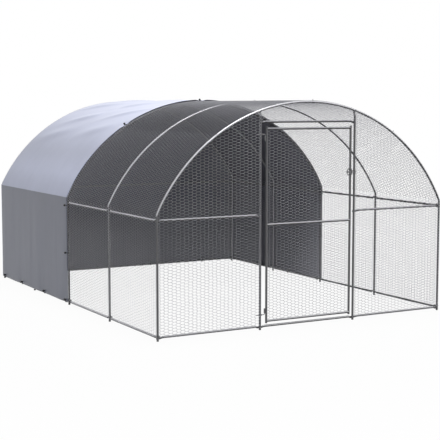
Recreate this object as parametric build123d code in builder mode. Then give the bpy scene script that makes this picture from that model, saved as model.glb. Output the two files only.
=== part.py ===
from build123d import *
import math
import os

# A walk-in poultry run: bolted steel tube under five hoops, wire netting all round,
# a netted door that swings outward, and a sheet cover tied over the rear bays.
# X runs across the front, Y from the door to the back and Z up, in millimetres.
# The origin is on the ground under the middle of the run.

# Overall size, over the tubes
cage_width = 3000
cage_depth = 4000
cage_height = 2000
bay_count = 4

# Tube stock
tube_diameter = 20
tube_wall = 1
swage_clearance = 0.2
swage_length = 80
swage_shoulder = 6

# Hoops
eave_kink_height = 1060
hoop_leg_foot = 950
hoop_bend_radius = 60
hoop_joint_angle = 32.4
joint_bolt_setback = 40

# Rails and their pressed, drilled ends
base_rail_height = 32
eave_rail_height = 1010
header_height = 1817
tab_thickness = 2
tab_width = 18
tab_tip = 9
tab_tip_radius = 5
tab_rise = 9.5
crank_start = 45
crank_end = 20
top_tab_width = 22
top_tab_tip = 8
back_joint_offset = 500

# Door posts and door
door_post_spacing = 992
door_hinge_gap = 64
door_latch_gap = 44
door_top_rail_height = 1757
door_middle_rail_height = 923
door_bottom_rail_height = 75
stile_overhang = 20
weld_gap = 0.1

# Hinges
hook_diameter = 8
hook_clearance = 0.2
hook_bend_radius = 10
hook_tail = 30
hook_collar_diameter = 13
hook_collar_height = 2
hook_pin_past_eye = 3
upper_hinge_height = 1709
lower_hinge_height = 133
eye_diameter = 13
eye_length = 36
eye_gap = 2
eye_web = 6
hinge_clearance = 0.05
hinge_end_gap = 0.3
hook_nut_across_flats = 13
hook_nut_height = 6.5

# Latch
latch_height = 1360
latch_plate_width = 60
latch_plate_height = 76
latch_plate_shift = 14
latch_plate_rim = 5.5
latch_plate_strap = 8
latch_plate_thickness = 4.5
latch_seat_gap = 0.3
latch_bar_height = 7
latch_bar_thickness = 4
latch_bar_gap = 0.3
latch_travel = 18
latch_tip_gap = 1.3
latch_guide_width = 5
latch_guide_wall = 2
latch_guide_offset = 22
latch_knob_diameter = 7
latch_knob_length = 10
latch_knob_margin = 1.5
latch_bolt_offset = 22
keeper_width = 8
keeper_wall = 2
keeper_gap = 0.5
keeper_foot = 15
keeper_foot_width = 12
keeper_bolt_offset = 14

# Bolts and nuts
bolt_diameter = 6
bolt_hole_diameter = 6.4
bolt_head_diameter = 13
bolt_head_height = 2.5
bolt_end_past_nut = 2
nut_across_flats = 10
nut_height = 5
nut_clearance = 0.05

# Netting: the real mesh, and how many times coarser each panel's net is drawn
mesh_length = 39
mesh_height = 25
mesh_twist = 17
net_wire = 2.5
net_thickness = 1.6
net_clearance = 0.3
net_selvedge = 3
net_overlap = 3
wall_net_foot = 26
wall_net_coarseness = 5.5
roof_net_coarseness = 6
front_net_coarseness = 3.4
transom_net_coarseness = 2.6
back_net_coarseness = 6
door_net_coarseness = 3.4
door_net_inset = 7
roof_seam_half_gap = 8
front_net_latch_inset = 7
least_gap_share = 0.1
arch_clip_steps = 32
gap_cut_depth = 20

# Cover and its ties
cover_hoop = 2
cover_thickness = 1.2
cover_clearance = 0.3
cover_edge_lap = 6
cover_hem_height = 24
eyelet_diameter = 9
edge_eyelet_gap = 26
hem_eyelet_rise = 24
tie_cord_diameter = 5
tie_clearance = 0.3
tie_corner_radius = 6
tie_ball_diameter = 22
upper_tie_height = 985
middle_tie_height = 516
arch_tie_angles = [-31, -0.5, 31]
hem_tie_offsets = [60, 660, 1350, 1920]
back_tie_offsets = [-1060, -350, 350, 1060]

# Worked out from the sizes above
tube_radius = tube_diameter / 2
tube_bore = tube_radius - tube_wall
swage_radius = tube_bore - swage_clearance
swage_bore = swage_radius - tube_wall
bolt_hole = bolt_hole_diameter / 2
bolt_reach = tube_diameter + 2 * tab_thickness + nut_height + bolt_end_past_nut

post_x = cage_width / 2 - tube_radius
back_y = cage_depth / 2 - tube_radius
front_y = -back_y
bay_length = (back_y - front_y) / bay_count
hoop_ys = [front_y + bay_length * i for i in range(bay_count + 1)]
door_post_x = door_post_spacing / 2

crown_z = cage_height - tube_radius
hoop_rise = crown_z - eave_kink_height
hoop_radius = (post_x**2 + hoop_rise**2) / (2 * hoop_rise)
hoop_centre_z = crown_z - hoop_radius
kink_angle = math.degrees(math.asin(post_x / hoop_radius))
bend_centre_x = post_x - hoop_bend_radius
bend_centre_z = hoop_centre_z + math.sqrt((hoop_radius - hoop_bend_radius) ** 2 - bend_centre_x**2)
spring_angle = math.degrees(math.atan2(bend_centre_x, bend_centre_z - hoop_centre_z))
setback_angle = math.degrees(joint_bolt_setback / hoop_radius)
swage_angle = math.degrees(swage_length / hoop_radius)
shoulder_angle = math.degrees(swage_shoulder / hoop_radius)
joint_bolt_angles = [-hoop_joint_angle - setback_angle, setback_angle, hoop_joint_angle + setback_angle]

side_base_bolt_z = base_rail_height + tab_rise
side_eave_bolt_z = eave_rail_height + tab_rise
end_base_bolt_z = base_rail_height - tab_rise
end_eave_bolt_z = eave_rail_height - tab_rise
header_bolt_z = header_height - tab_rise
door_post_top_z = hoop_centre_z + math.sqrt(hoop_radius**2 - door_post_x**2)

hinge_stile_x = -door_post_x + door_hinge_gap
latch_stile_x = door_post_x - door_latch_gap
hinge_x = hinge_stile_x - tube_radius - eye_gap - eye_diameter / 2
stile_foot_z = door_bottom_rail_height - stile_overhang
stile_top_z = door_top_rail_height + stile_overhang

net_standoff = tube_radius + bolt_head_height + net_clearance
roof_net_radius = hoop_radius + tube_radius + net_clearance
cover_standoff = net_standoff + net_thickness + cover_clearance
cover_face = cover_standoff + cover_thickness
cover_front_y = hoop_ys[cover_hoop] - cover_edge_lap

tie_cord_radius = tie_cord_diameter / 2
tie_tube_offset = tube_radius + tie_clearance + tie_cord_radius
tie_outer_offset = cover_face + tie_clearance + tie_cord_radius

inward = {"left": (1, 0, 0), "right": (-1, 0, 0), "front": (0, 1, 0), "back": (0, -1, 0)}


def export(part, name):
    part.label = name
    export_step(part, f"parts/{name}.step")


def export_group(parts, name):
    export(Compound(label=name, children=parts), name)


def hoop_point(angle, hoop_y, radius=hoop_radius):
    # A point at an angle from the crown, seen from the front, on a circle about the hoop's centre
    turn = math.radians(angle)
    return (radius * math.sin(turn), hoop_y, hoop_centre_z + radius * math.cos(turn))


def radial(angle):
    turn = math.radians(angle)
    return (math.sin(turn), 0, math.cos(turn))


def drill(origin, direction, radius=bolt_hole):
    # A hole right across a tube
    with Locations(Plane(origin, z_dir=direction).location):
        Cylinder(radius, 2 * tube_diameter, mode=Mode.SUBTRACT)


def ring_section(plane, outer, inner):
    with BuildSketch(plane) as ring:
        Circle(outer)
        Circle(inner, mode=Mode.SUBTRACT)
    return ring.sketch


def straight_tube(plane, length, outer=tube_radius, inner=tube_bore):
    extrude(ring_section(plane, outer, inner), amount=length)


def swaged_end(plane):
    # A reduced end that slips into the next tube, with the thick shoulder that it is drawn from
    straight_tube(plane.offset(-swage_shoulder), swage_shoulder, tube_radius, swage_bore)
    straight_tube(plane, swage_length, swage_radius, swage_bore)


def flat_end(frame, layer, rise, width=tab_width, tip=tab_tip):
    # A tube end cranked from round to a drilled tab: the frame stands at the bolt, its x runs back
    # along the tube and its z points at the inside of the run
    tab_face = tube_radius + (layer - 1) * tab_thickness
    round_end = Plane(frame.from_local_coords((crank_start, 0, 0)), x_dir=frame.y_dir, z_dir=frame.x_dir)
    flat_edge = Plane(frame.from_local_coords((crank_end, 0, 0)), x_dir=frame.y_dir, z_dir=frame.x_dir)
    with BuildSketch(round_end) as whole:
        with BuildLine():
            for quarter in range(4):
                CenterArc((0, 0), tube_radius, 45 + 90 * quarter, 90)
        make_face()
    with BuildSketch(flat_edge) as pressed:
        with Locations((rise, tab_face + tab_thickness / 2)):
            Rectangle(width, tab_thickness)
    loft([whole.sketch, pressed.sketch], ruled=True)
    with BuildSketch(frame.offset(tab_face)) as tab:
        with Locations(((crank_end - tip) / 2, rise)):
            Rectangle(crank_end + tip, width)
        fillet(vertices().group_by(Axis.X)[0], tab_tip_radius)
        with Locations((0, rise)):
            Circle(bolt_hole, mode=Mode.SUBTRACT)
    extrude(tab.sketch, amount=tab_thickness)


def along(frame, distance):
    # The frame at the far end of a rail, looking back
    return Plane(frame.from_local_coords((distance, 0, 0)), x_dir=-frame.x_dir, z_dir=frame.z_dir)


def across(frame, distance):
    # A plane square to a rail
    return Plane(frame.from_local_coords((distance, 0, 0)), z_dir=frame.x_dir)


def flat_ended_rail(frame, span, first_layer, last_layer, rise):
    with BuildPart() as rail:
        straight_tube(across(frame, crank_start), span - 2 * crank_start)
        flat_end(frame, first_layer, rise)
        flat_end(along(frame, span), last_layer, -rise)
    return rail.part


def wall_frame(wall, x, y, z):
    # Seen from inside, each wall's rails run to the right, so its frame has y up and z inward
    inside = Vector(inward[wall])
    return Plane((x, y, z), x_dir=Vector(0, 0, 1).cross(inside), z_dir=inside)


def side_post(x, y, at_corner):
    with BuildPart() as post:
        straight_tube(Plane((x, y, 0)), hoop_leg_foot)
        swaged_end(Plane((x, y, hoop_leg_foot)))
        for height in (side_base_bolt_z, side_eave_bolt_z):
            drill((x, y, height), (1, 0, 0))
        if at_corner:
            for height in (end_base_bolt_z, end_eave_bolt_z):
                drill((x, y, height), (0, 1, 0))
    return post.part


def arc_tube(hoop_y, first_angle, last_angle, outer=tube_radius, inner=tube_bore):
    # A length of hoop tube between two angles, turned about the hoop's centre
    start = min(first_angle, last_angle)
    hub = Axis((0, hoop_y, hoop_centre_z), (0, 1, 0))
    section = Plane(hoop_point(start, hoop_y), x_dir=radial(start), z_dir=radial(start + 90))
    revolve(ring_section(section, outer, inner), axis=hub, revolution_arc=abs(last_angle - first_angle))


def arc_swage(hoop_y, shoulder_end, toward):
    # A swaged end on a hoop tube, which slips past the joint in the direction of the sign
    arc_tube(hoop_y, shoulder_end - toward * shoulder_angle, shoulder_end, tube_radius, swage_bore)
    arc_tube(hoop_y, shoulder_end, shoulder_end + toward * swage_angle, swage_radius, swage_bore)


def hoop_lower_arc(hoop_y, at_end):
    with BuildPart() as arc:
        with BuildLine(Plane.XZ.offset(-hoop_y)):
            leg = Line((post_x, hoop_leg_foot), (post_x, bend_centre_z))
            CenterArc((bend_centre_x, bend_centre_z), hoop_bend_radius, 0, 90 - spring_angle)
            CenterArc((0, hoop_centre_z), hoop_radius, 90 - spring_angle, spring_angle - hoop_joint_angle)
        sweep(ring_section(Plane(leg @ 0, z_dir=leg % 0), tube_radius, tube_bore))
        drill((post_x, hoop_y, side_eave_bolt_z), (1, 0, 0))
        drill(hoop_point(joint_bolt_angles[2], hoop_y), radial(joint_bolt_angles[2]))
        if at_end:
            drill((post_x, hoop_y, end_eave_bolt_z), (0, 1, 0))
        mirror(about=Plane.YZ)
    return arc.part


def hoop_upper_arc(hoop_y, side, carries_door_post):
    # The left tube has the swaged crown end, and the right one takes it
    with BuildPart() as arc:
        arc_tube(hoop_y, 0, side * hoop_joint_angle)
        arc_swage(hoop_y, side * hoop_joint_angle, side)
        drill(hoop_point(side * joint_bolt_angles[2], hoop_y), radial(side * joint_bolt_angles[2]))
        if side < 0:
            arc_swage(hoop_y, 0, 1)
        drill(hoop_point(setback_angle, hoop_y), radial(setback_angle))
        if carries_door_post:
            drill((side * door_post_x, hoop_y, door_post_top_z), (0, 1, 0))
    return arc.part


def door_post(x):
    top = Plane((x, front_y, door_post_top_z), x_dir=(0, 0, -1), z_dir=(0, 1, 0))
    with BuildPart() as post:
        straight_tube(Plane((x, front_y, 0)), door_post_top_z - crank_start)
        flat_end(top, 1, 0, top_tab_width, top_tab_tip)
        for height in (end_base_bolt_z, end_eave_bolt_z, header_bolt_z):
            drill((x, front_y, height), (0, 1, 0))
        if x < 0:
            for height in (lower_hinge_height, upper_hinge_height):
                drill((x, front_y, height), (1, 0, 0), hook_diameter / 2 + hook_clearance)
        else:
            for side in (-1, 1):
                drill((x, front_y, latch_height + side * keeper_bolt_offset), (0, 1, 0))
    return post.part


def slip_rail(height, side):
    # An outer length of a back rail: pressed at the corner post, open where the middle length slips in
    corner = Plane((side * post_x, back_y, height), x_dir=(-side, 0, 0), z_dir=inward["back"])
    length = post_x - back_joint_offset - crank_start
    with BuildPart() as rail:
        straight_tube(across(corner, crank_start), length)
        flat_end(corner, 1, side * tab_rise)
        drill((side * (back_joint_offset + joint_bolt_setback), back_y, height), (0, 1, 0))
    return rail.part


def slip_rail_middle(height):
    with BuildPart() as rail:
        straight_tube(Plane((-back_joint_offset, back_y, height), z_dir=(1, 0, 0)), 2 * back_joint_offset)
        for side in (-1, 1):
            swaged_end(Plane((side * back_joint_offset, back_y, height), z_dir=(side, 0, 0)))
            drill((side * (back_joint_offset + joint_bolt_setback), back_y, height), (0, 1, 0))
    return rail.part


def door_stile(x, holds_latch):
    with BuildPart() as stile:
        straight_tube(Plane((x, front_y, stile_foot_z)), stile_top_z - stile_foot_z)
        if holds_latch:
            for side in (-1, 1):
                drill((x, front_y, latch_height + side * latch_bolt_offset), (0, 1, 0))
    return stile.part


def door_rail(height):
    # Coped over both stiles, with room for the weld
    with BuildPart() as rail:
        straight_tube(Plane((hinge_stile_x, front_y, height), z_dir=(1, 0, 0)), latch_stile_x - hinge_stile_x)
        with Locations((hinge_stile_x, front_y, height), (latch_stile_x, front_y, height)):
            Cylinder(tube_radius + weld_gap, 2 * tube_diameter, mode=Mode.SUBTRACT)
    return rail.part


def hinge_hook(height, points):
    # A threaded bolt across the post, turned up or down into the pin that the eye hangs on
    shoulder = hook_diameter / 2 + hook_bend_radius
    pin_length = shoulder + hook_collar_height + hinge_end_gap + eye_length + hook_pin_past_eye
    tail_x = -door_post_x - tube_radius - hook_tail
    with BuildPart() as hook:
        with BuildLine(Plane.XZ.offset(-front_y)):
            route = FilletPolyline(
                (tail_x, height), (hinge_x, height), (hinge_x, height + points * pin_length), radius=hook_bend_radius
            )
        with BuildSketch(Plane(route @ 0, z_dir=route % 0)):
            Circle(hook_diameter / 2)
        sweep()
        with BuildSketch(Plane((hinge_x, front_y, height + points * shoulder), z_dir=(0, 0, points))):
            Circle(hook_collar_diameter / 2)
        extrude(amount=hook_collar_height)
    return hook.part


def hinge_eye(height, points):
    # A barrel on the pin, with the web that is welded to the stile
    foot = height + points * (hook_diameter / 2 + hook_bend_radius + hook_collar_height + hinge_end_gap)
    base = Plane((hinge_x, front_y, foot), x_dir=(1, 0, 0), z_dir=(0, 0, points))
    with BuildPart() as eye:
        with BuildSketch(base):
            Circle(eye_diameter / 2)
            with Locations(((hinge_stile_x - hinge_x) / 2, 0)):
                Rectangle(hinge_stile_x - hinge_x, eye_web)
            Circle(hook_diameter / 2 + hinge_clearance, mode=Mode.SUBTRACT)
            with Locations((hinge_stile_x - hinge_x, 0)):
                Circle(tube_radius + weld_gap, mode=Mode.SUBTRACT)
        extrude(amount=eye_length)
    return eye.part


# Latch levels, as distances in front of the door's plane
plate_back = tube_radius + latch_seat_gap
plate_front = plate_back + latch_plate_thickness
bar_back = plate_front + latch_bar_gap
bar_front = bar_back + latch_bar_thickness
bar_tip_x = door_post_x - keeper_width / 2 - latch_tip_gap
latch_x = latch_stile_x - latch_plate_shift
guide_left_x = latch_x - latch_guide_offset
knob_x = guide_left_x + latch_guide_width / 2 + latch_knob_margin + latch_knob_diameter / 2
bar_tail_x = guide_left_x - latch_travel
guide_front = bar_front + latch_bar_gap + latch_guide_wall
keeper_front = bar_front + keeper_gap + keeper_wall


def door_face(distance):
    return Plane.XZ.offset(distance - front_y)


def make_latch_plate():
    # An oval plate: a strap along the stile, a band behind the bar and a window above and below the band
    slot_height = latch_bar_height + 2 * latch_bar_gap
    band_height = slot_height + 2 * latch_guide_wall
    strap_x = latch_stile_x - latch_plate_strap
    strap_side = (Align.MIN, Align.CENTER)
    with BuildPart() as plate:
        with BuildSketch(door_face(plate_back)):
            with Locations((latch_x, latch_height)):
                Ellipse(latch_plate_width / 2, latch_plate_height / 2)
            for side in (-1, 1):
                with Locations((latch_stile_x, latch_height + side * latch_bolt_offset)):
                    Circle(bolt_hole, mode=Mode.SUBTRACT)
        extrude(amount=latch_plate_thickness)
        with BuildSketch(door_face(plate_back)):
            with Locations((latch_x, latch_height)):
                Ellipse(latch_plate_width / 2 - latch_plate_rim, latch_plate_height / 2 - latch_plate_rim)
                Rectangle(latch_plate_width, band_height, mode=Mode.SUBTRACT)
            with Locations((strap_x, latch_height)):
                Rectangle(latch_plate_width, latch_plate_height, align=strap_side, mode=Mode.SUBTRACT)
        extrude(amount=latch_plate_thickness, mode=Mode.SUBTRACT)
        guides = [(latch_x + side * latch_guide_offset, latch_height) for side in (-1, 1)]
        with BuildSketch(door_face(plate_front)):
            with Locations(*guides):
                Rectangle(latch_guide_width, band_height)
        extrude(amount=guide_front - plate_front)
        with BuildSketch(door_face(plate_front)):
            with Locations(*guides):
                Rectangle(2 * latch_guide_width, slot_height)
        extrude(amount=bar_front + latch_bar_gap - plate_front, mode=Mode.SUBTRACT)
    return plate.part


def make_latch_bar():
    bar_length = bar_tip_x - bar_tail_x
    with BuildPart() as bar:
        with BuildSketch(door_face(bar_back)):
            with Locations(((bar_tip_x + bar_tail_x) / 2, latch_height)):
                RectangleRounded(bar_length, latch_bar_height, latch_bar_height / 4)
        extrude(amount=latch_bar_thickness)
        with BuildSketch(door_face(bar_front)):
            with Locations((knob_x, latch_height)):
                Circle(latch_knob_diameter / 2)
        extrude(amount=latch_knob_length)
        fillet(bar.faces().sort_by(Axis.Y)[0].edges(), latch_knob_diameter / 4)
    return bar.part


def make_latch_keeper():
    # A strap bent over the bar's path, with two drilled feet on the post
    loop_height = latch_bar_height + 2 * keeper_gap
    with BuildPart() as keeper:
        with BuildSketch(door_face(tube_radius)):
            with Locations((door_post_x, latch_height)):
                Rectangle(keeper_width, loop_height + 2 * keeper_wall)
        extrude(amount=keeper_front - tube_radius)
        with BuildSketch(door_face(tube_radius)):
            with Locations((door_post_x, latch_height)):
                Rectangle(keeper_foot_width, loop_height + 2 * keeper_wall + 2 * keeper_foot)
            for side in (-1, 1):
                with Locations((door_post_x, latch_height + side * keeper_bolt_offset)):
                    Circle(bolt_hole, mode=Mode.SUBTRACT)
        extrude(amount=keeper_wall)
        with BuildSketch(door_face(tube_radius)):
            with Locations((door_post_x, latch_height)):
                Rectangle(2 * keeper_foot_width, loop_height)
        extrude(amount=bar_front + keeper_gap - tube_radius, mode=Mode.SUBTRACT)
    return keeper.part


def make_bolt():
    # A low domed head on the near side of a tube at the origin, and a shank along z
    with BuildPart() as bolt:
        with BuildSketch(Plane.XY.offset(-tube_radius)):
            Circle(bolt_diameter / 2)
        extrude(amount=bolt_reach)
        with BuildSketch(Plane.XY.offset(-tube_radius - bolt_head_height)):
            Circle(bolt_head_diameter / 2)
        extrude(amount=bolt_head_height)
        fillet(bolt.faces().sort_by(Axis.Z)[0].edges(), bolt_head_height / 2)
    return bolt.part


def make_nut(flats, height, bore):
    with BuildPart() as nut:
        with BuildSketch():
            RegularPolygon(flats / 2, 6, major_radius=False)
            Circle(bore, mode=Mode.SUBTRACT)
        extrude(amount=height)
    return nut.part


def bolted(seats, bolt, nut):
    # One bolt and one nut for each seat: a plane at the tube's axis that looks along the bolt,
    # how far out the head is lifted and how much is stacked under the nut
    bolts = []
    nuts = []
    for plane, lift, stack in seats:
        bolts.append(bolt.moved(plane.offset(-lift).location))
        nuts.append(nut.moved(plane.offset(tube_radius + stack).location))
    return bolts, nuts


def clip(polygon, region):
    # The part of a convex polygon inside a convex region whose points run counter-clockwise
    for (ax, ay), (bx, by) in zip(region, region[1:] + region[:1]):
        kept = []
        sides = [(bx - ax) * (y - ay) - (by - ay) * (x - ax) for x, y in polygon]
        for i, (x, y) in enumerate(polygon):
            past, here = sides[i - 1], sides[i]
            if past * here < 0:
                share = past / (past - here)
                px, py = polygon[i - 1]
                kept.append((px + share * (x - px), py + share * (y - py)))
            if here >= 0:
                kept.append((x, y))
        polygon = kept
    return polygon


def polygon_area(polygon):
    turns = zip(polygon, polygon[1:] + polygon[:1])
    return sum(ax * by - bx * ay for (ax, ay), (bx, by) in turns) / 2


def mesh_gaps(region, start, coarseness):
    # The six-sided gaps of the netting inside a region, column by column from one gap's centre,
    # each with its centre; the twisted sides lie along x
    length = mesh_length * coarseness
    height = mesh_height * coarseness
    twist = mesh_twist * coarseness
    slope = length - twist
    diagonal = math.hypot(height / 2, slope)
    top = (height - net_wire) / 2
    shoulder = twist / 2 - net_wire / height * (diagonal - slope)
    point = twist / 2 + slope - net_wire / height * diagonal
    gap = [(-point, 0), (-shoulder, -top), (shoulder, -top), (point, 0), (shoulder, top), (-shoulder, top)]
    xs = [x for x, y in region]
    ys = [y for x, y in region]
    found = []
    for column in range(math.floor((min(xs) - start[0]) / length), math.ceil((max(xs) - start[0]) / length) + 1):
        shift = height / 2 * (column % 2)
        first = math.floor((min(ys) - start[1]) / height) - 1
        last = math.ceil((max(ys) - start[1]) / height) + 1
        for row in range(first, last):
            cx = start[0] + column * length
            cy = start[1] + row * height + shift
            piece = clip([(cx + x, cy + y) for x, y in gap], region)
            if len(piece) > 2 and polygon_area(piece) > least_gap_share * polygon_area(gap):
                found.append(((cx, cy), piece))
    return found


def holed_sheet(plane, outline, gaps):
    holes = [Wire.make_polygon([Vector(*point) for point in piece]) for centre, piece in gaps]
    with BuildPart() as net:
        with BuildSketch(plane):
            add(Face(outline, holes))
        extrude(amount=net_thickness)
    return net.part


def rectangle_region(x0, x1, y0, y1):
    return [(x0, y0), (x1, y0), (x1, y1), (x0, y1)]


def flat_net(plane, x0, x1, y0, y1, start, coarseness):
    with BuildLine() as outline:
        Polyline(*rectangle_region(x0, x1, y0, y1), close=True)
    s = net_selvedge
    gaps = mesh_gaps(rectangle_region(x0 + s, x1 - s, y0 + s, y1 - s), start, coarseness)
    return holed_sheet(plane, outline.wire(), gaps)


def arch_height(x, radius):
    return hoop_centre_z + math.sqrt(radius**2 - x**2)


def gable_net(plane, x0, x1, z0, start, coarseness):
    # A panel between two uprights that follows the hoop's middle line at the top
    middle = (x0 + x1) / 2
    with BuildLine() as outline:
        Line((x0, z0), (x1, z0))
        Line((x1, z0), (x1, arch_height(x1, hoop_radius)))
        ThreePointArc(
            (x1, arch_height(x1, hoop_radius)),
            (middle, arch_height(middle, hoop_radius)),
            (x0, arch_height(x0, hoop_radius)),
        )
        Line((x0, arch_height(x0, hoop_radius)), (x0, z0))
    s = net_selvedge
    clip_xs = [x1 - s + (x0 - x1 + 2 * s) * i / arch_clip_steps for i in range(arch_clip_steps + 1)]
    arch = [(x, arch_height(x, hoop_radius - s)) for x in clip_xs]
    region = [(x0 + s, z0 + s), (x1 - s, z0 + s)] + arch
    return holed_sheet(plane, outline.wire(), mesh_gaps(region, start, coarseness))


def roof_net(first_angle, last_angle):
    # A strip along the run, bent over the hoops between two seams
    half_length = back_y + net_overlap
    outer = roof_net_radius + net_thickness
    first_arc = math.radians(first_angle) * roof_net_radius
    last_arc = math.radians(last_angle) * roof_net_radius
    s = net_selvedge
    region = rectangle_region(-half_length + s, half_length - s, first_arc + s, last_arc - s)
    rows = {}
    for centre, piece in mesh_gaps(region, (0, (first_arc + last_arc) / 2), roof_net_coarseness):
        rows.setdefault(centre[1], []).append(piece)
    cutters = []
    for arc, pieces in rows.items():
        angle = math.degrees(arc / roof_net_radius)
        plane = Plane(hoop_point(angle, 0, roof_net_radius), x_dir=(0, 1, 0), z_dir=radial(angle))
        for piece in pieces:
            gap = plane * Face(Wire.make_polygon([Vector(y, arc - at) for y, at in piece]))
            cutters.append(extrude(gap, amount=gap_cut_depth, both=True, mode=Mode.PRIVATE))
    with BuildPart() as net:
        with BuildSketch(Plane.XZ.offset(-half_length)):
            with BuildLine():
                low = CenterArc((0, hoop_centre_z), roof_net_radius, 90 - last_angle, last_angle - first_angle)
                high = CenterArc((0, hoop_centre_z), outer, 90 - last_angle, last_angle - first_angle)
                Line(low @ 0, high @ 0)
                Line(low @ 1, high @ 1)
            make_face()
        extrude(amount=2 * half_length)
        add(cutters, mode=Mode.SUBTRACT)
    return net.part


def cover_outline(y, standoff):
    # Both walls and the arch of the sheet, as a face from the hem up
    wall_x = post_x + standoff
    radius = hoop_radius + standoff
    with BuildSketch(Plane.XZ.offset(-y)) as outline:
        with BuildLine():
            Line((-wall_x, cover_hem_height), (wall_x, cover_hem_height))
            Line((wall_x, cover_hem_height), (wall_x, arch_height(wall_x, radius)))
            ThreePointArc(
                (wall_x, arch_height(wall_x, radius)),
                (0, hoop_centre_z + radius),
                (-wall_x, arch_height(wall_x, radius)),
            )
            Line((-wall_x, arch_height(wall_x, radius)), (-wall_x, cover_hem_height))
        make_face()
    return outline.sketch


def make_tie(eyelet):
    # An elastic loop round a tube and through an eyelet, knotted into a ball outside the sheet:
    # it is drawn about a tube along z, with x outward and y towards the eyelet
    ball = tie_ball_diameter / 2
    with BuildPart() as tie:
        with BuildLine():
            loop = FilletPolyline(
                (-tie_tube_offset, -tie_tube_offset),
                (-tie_tube_offset, eyelet),
                (tie_outer_offset, eyelet),
                (tie_outer_offset, -tie_tube_offset),
                radius=tie_corner_radius,
                close=True,
            )
        with BuildSketch(Plane(loop @ 0, z_dir=loop % 0)):
            Circle(tie_cord_radius)
        sweep()
        with Locations((cover_face + tie_clearance + ball, eyelet - ball, 0)):
            Sphere(ball)
    return tie.part


os.makedirs("parts", exist_ok=True)

# Posts and hoops
for side, side_name in ((-1, "left"), (1, "right")):
    for index, hoop_y in enumerate(hoop_ys):
        export(side_post(side * post_x, hoop_y, index in (0, bay_count)), f"{side_name}_post_{index + 1}")
for index, hoop_y in enumerate(hoop_ys):
    export(hoop_lower_arc(hoop_y, index in (0, bay_count)), f"hoop_{index + 1}_lower_arcs")
    crown = [hoop_upper_arc(hoop_y, side, index == 0) for side in (-1, 1)]
    export_group(crown, f"hoop_{index + 1}_upper_arcs")
export(door_post(-door_post_x), "hinge_post")
export(door_post(door_post_x), "latch_post")

# Rails: every rail's first end lies on the post and its last end on its neighbour's, except the last rail's
for height, level in ((base_rail_height, "base"), (eave_rail_height, "eave")):
    for wall, x, start_ys in (("left", -post_x, hoop_ys[:-1]), ("right", post_x, hoop_ys[:0:-1])):
        rails = []
        for hoop_y in start_ys:
            last_layer = 1 if hoop_y == start_ys[-1] else 2
            rails.append(flat_ended_rail(wall_frame(wall, x, hoop_y, height), bay_length, 1, last_layer, tab_rise))
        export_group(rails, f"{wall}_{level}_rails")
    outer = [slip_rail(height, side) for side in (-1, 1)]
    export_group(outer + [slip_rail_middle(height)], f"back_{level}_rails")

front_span = post_x - door_post_x
right_corner = wall_frame("front", post_x, front_y, base_rail_height)
latch_side = wall_frame("front", door_post_x, front_y, base_rail_height)
hinge_side = wall_frame("front", -door_post_x, front_y, base_rail_height)
export_group(
    [
        flat_ended_rail(right_corner, front_span, 1, 2, -tab_rise),
        flat_ended_rail(latch_side, door_post_spacing, 1, 2, -tab_rise),
        flat_ended_rail(hinge_side, front_span, 1, 1, -tab_rise),
    ],
    "front_base_rails",
)
eave_starts = [wall_frame("front", x, front_y, eave_rail_height) for x in (post_x, -door_post_x)]
export_group([flat_ended_rail(start, front_span, 1, 1, -tab_rise) for start in eave_starts], "front_eave_rails")
header_start = wall_frame("front", door_post_x, front_y, header_height)
export(flat_ended_rail(header_start, door_post_spacing, 1, 1, -tab_rise), "door_header")

# Door
export(door_stile(hinge_stile_x, False), "door_hinge_stile")
export(door_stile(latch_stile_x, True), "door_latch_stile")
export(door_rail(door_top_rail_height), "door_top_rail")
export(door_rail(door_middle_rail_height), "door_middle_rail")
export(door_rail(door_bottom_rail_height), "door_bottom_rail")
export(hinge_hook(upper_hinge_height, -1), "upper_hinge_hook")
export(hinge_hook(lower_hinge_height, 1), "lower_hinge_hook")
export(hinge_eye(upper_hinge_height, -1), "upper_hinge_eye")
export(hinge_eye(lower_hinge_height, 1), "lower_hinge_eye")
export(make_latch_plate(), "latch_plate")
export(make_latch_bar(), "latch_bar")
export(make_latch_keeper(), "latch_keeper")

# Bolts and nuts: plane, lift of the head, stack under the nut
seats = []
for wall, x in (("left", -post_x), ("right", post_x)):
    for index, hoop_y in enumerate(hoop_ys):
        stack = tab_thickness if index in (0, bay_count) else 2 * tab_thickness
        for height in (side_base_bolt_z, side_eave_bolt_z):
            seats.append((Plane((x, hoop_y, height), z_dir=inward[wall]), 0, stack))
for x in (-post_x, -door_post_x, door_post_x, post_x):
    stack = tab_thickness if abs(x) == post_x else 2 * tab_thickness
    seats.append((Plane((x, front_y, end_base_bolt_z), z_dir=inward["front"]), 0, stack))
    seats.append((Plane((x, front_y, end_eave_bolt_z), z_dir=inward["front"]), 0, tab_thickness))
for x in (-door_post_x, door_post_x):
    for height in (header_bolt_z, door_post_top_z):
        seats.append((Plane((x, front_y, height), z_dir=inward["front"]), 0, tab_thickness))
for side in (-1, 1):
    keeper_bolt_z = latch_height + side * keeper_bolt_offset
    seats.append((Plane((door_post_x, front_y, keeper_bolt_z), z_dir=inward["front"]), keeper_wall, 0))
    joint_x = side * (back_joint_offset + joint_bolt_setback)
    for height in (end_base_bolt_z, end_eave_bolt_z):
        seats.append((Plane((side * post_x, back_y, height), z_dir=inward["back"]), 0, tab_thickness))
    for height in (base_rail_height, eave_rail_height):
        seats.append((Plane((joint_x, back_y, height), z_dir=inward["back"]), 0, 0))
for index, hoop_y in enumerate(hoop_ys):
    for angle in joint_bolt_angles:
        outward = Vector(radial(angle))
        bolt_way = outward if index < cover_hoop else -outward
        seats.append((Plane(hoop_point(angle, hoop_y), z_dir=bolt_way), 0, 0))

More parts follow.
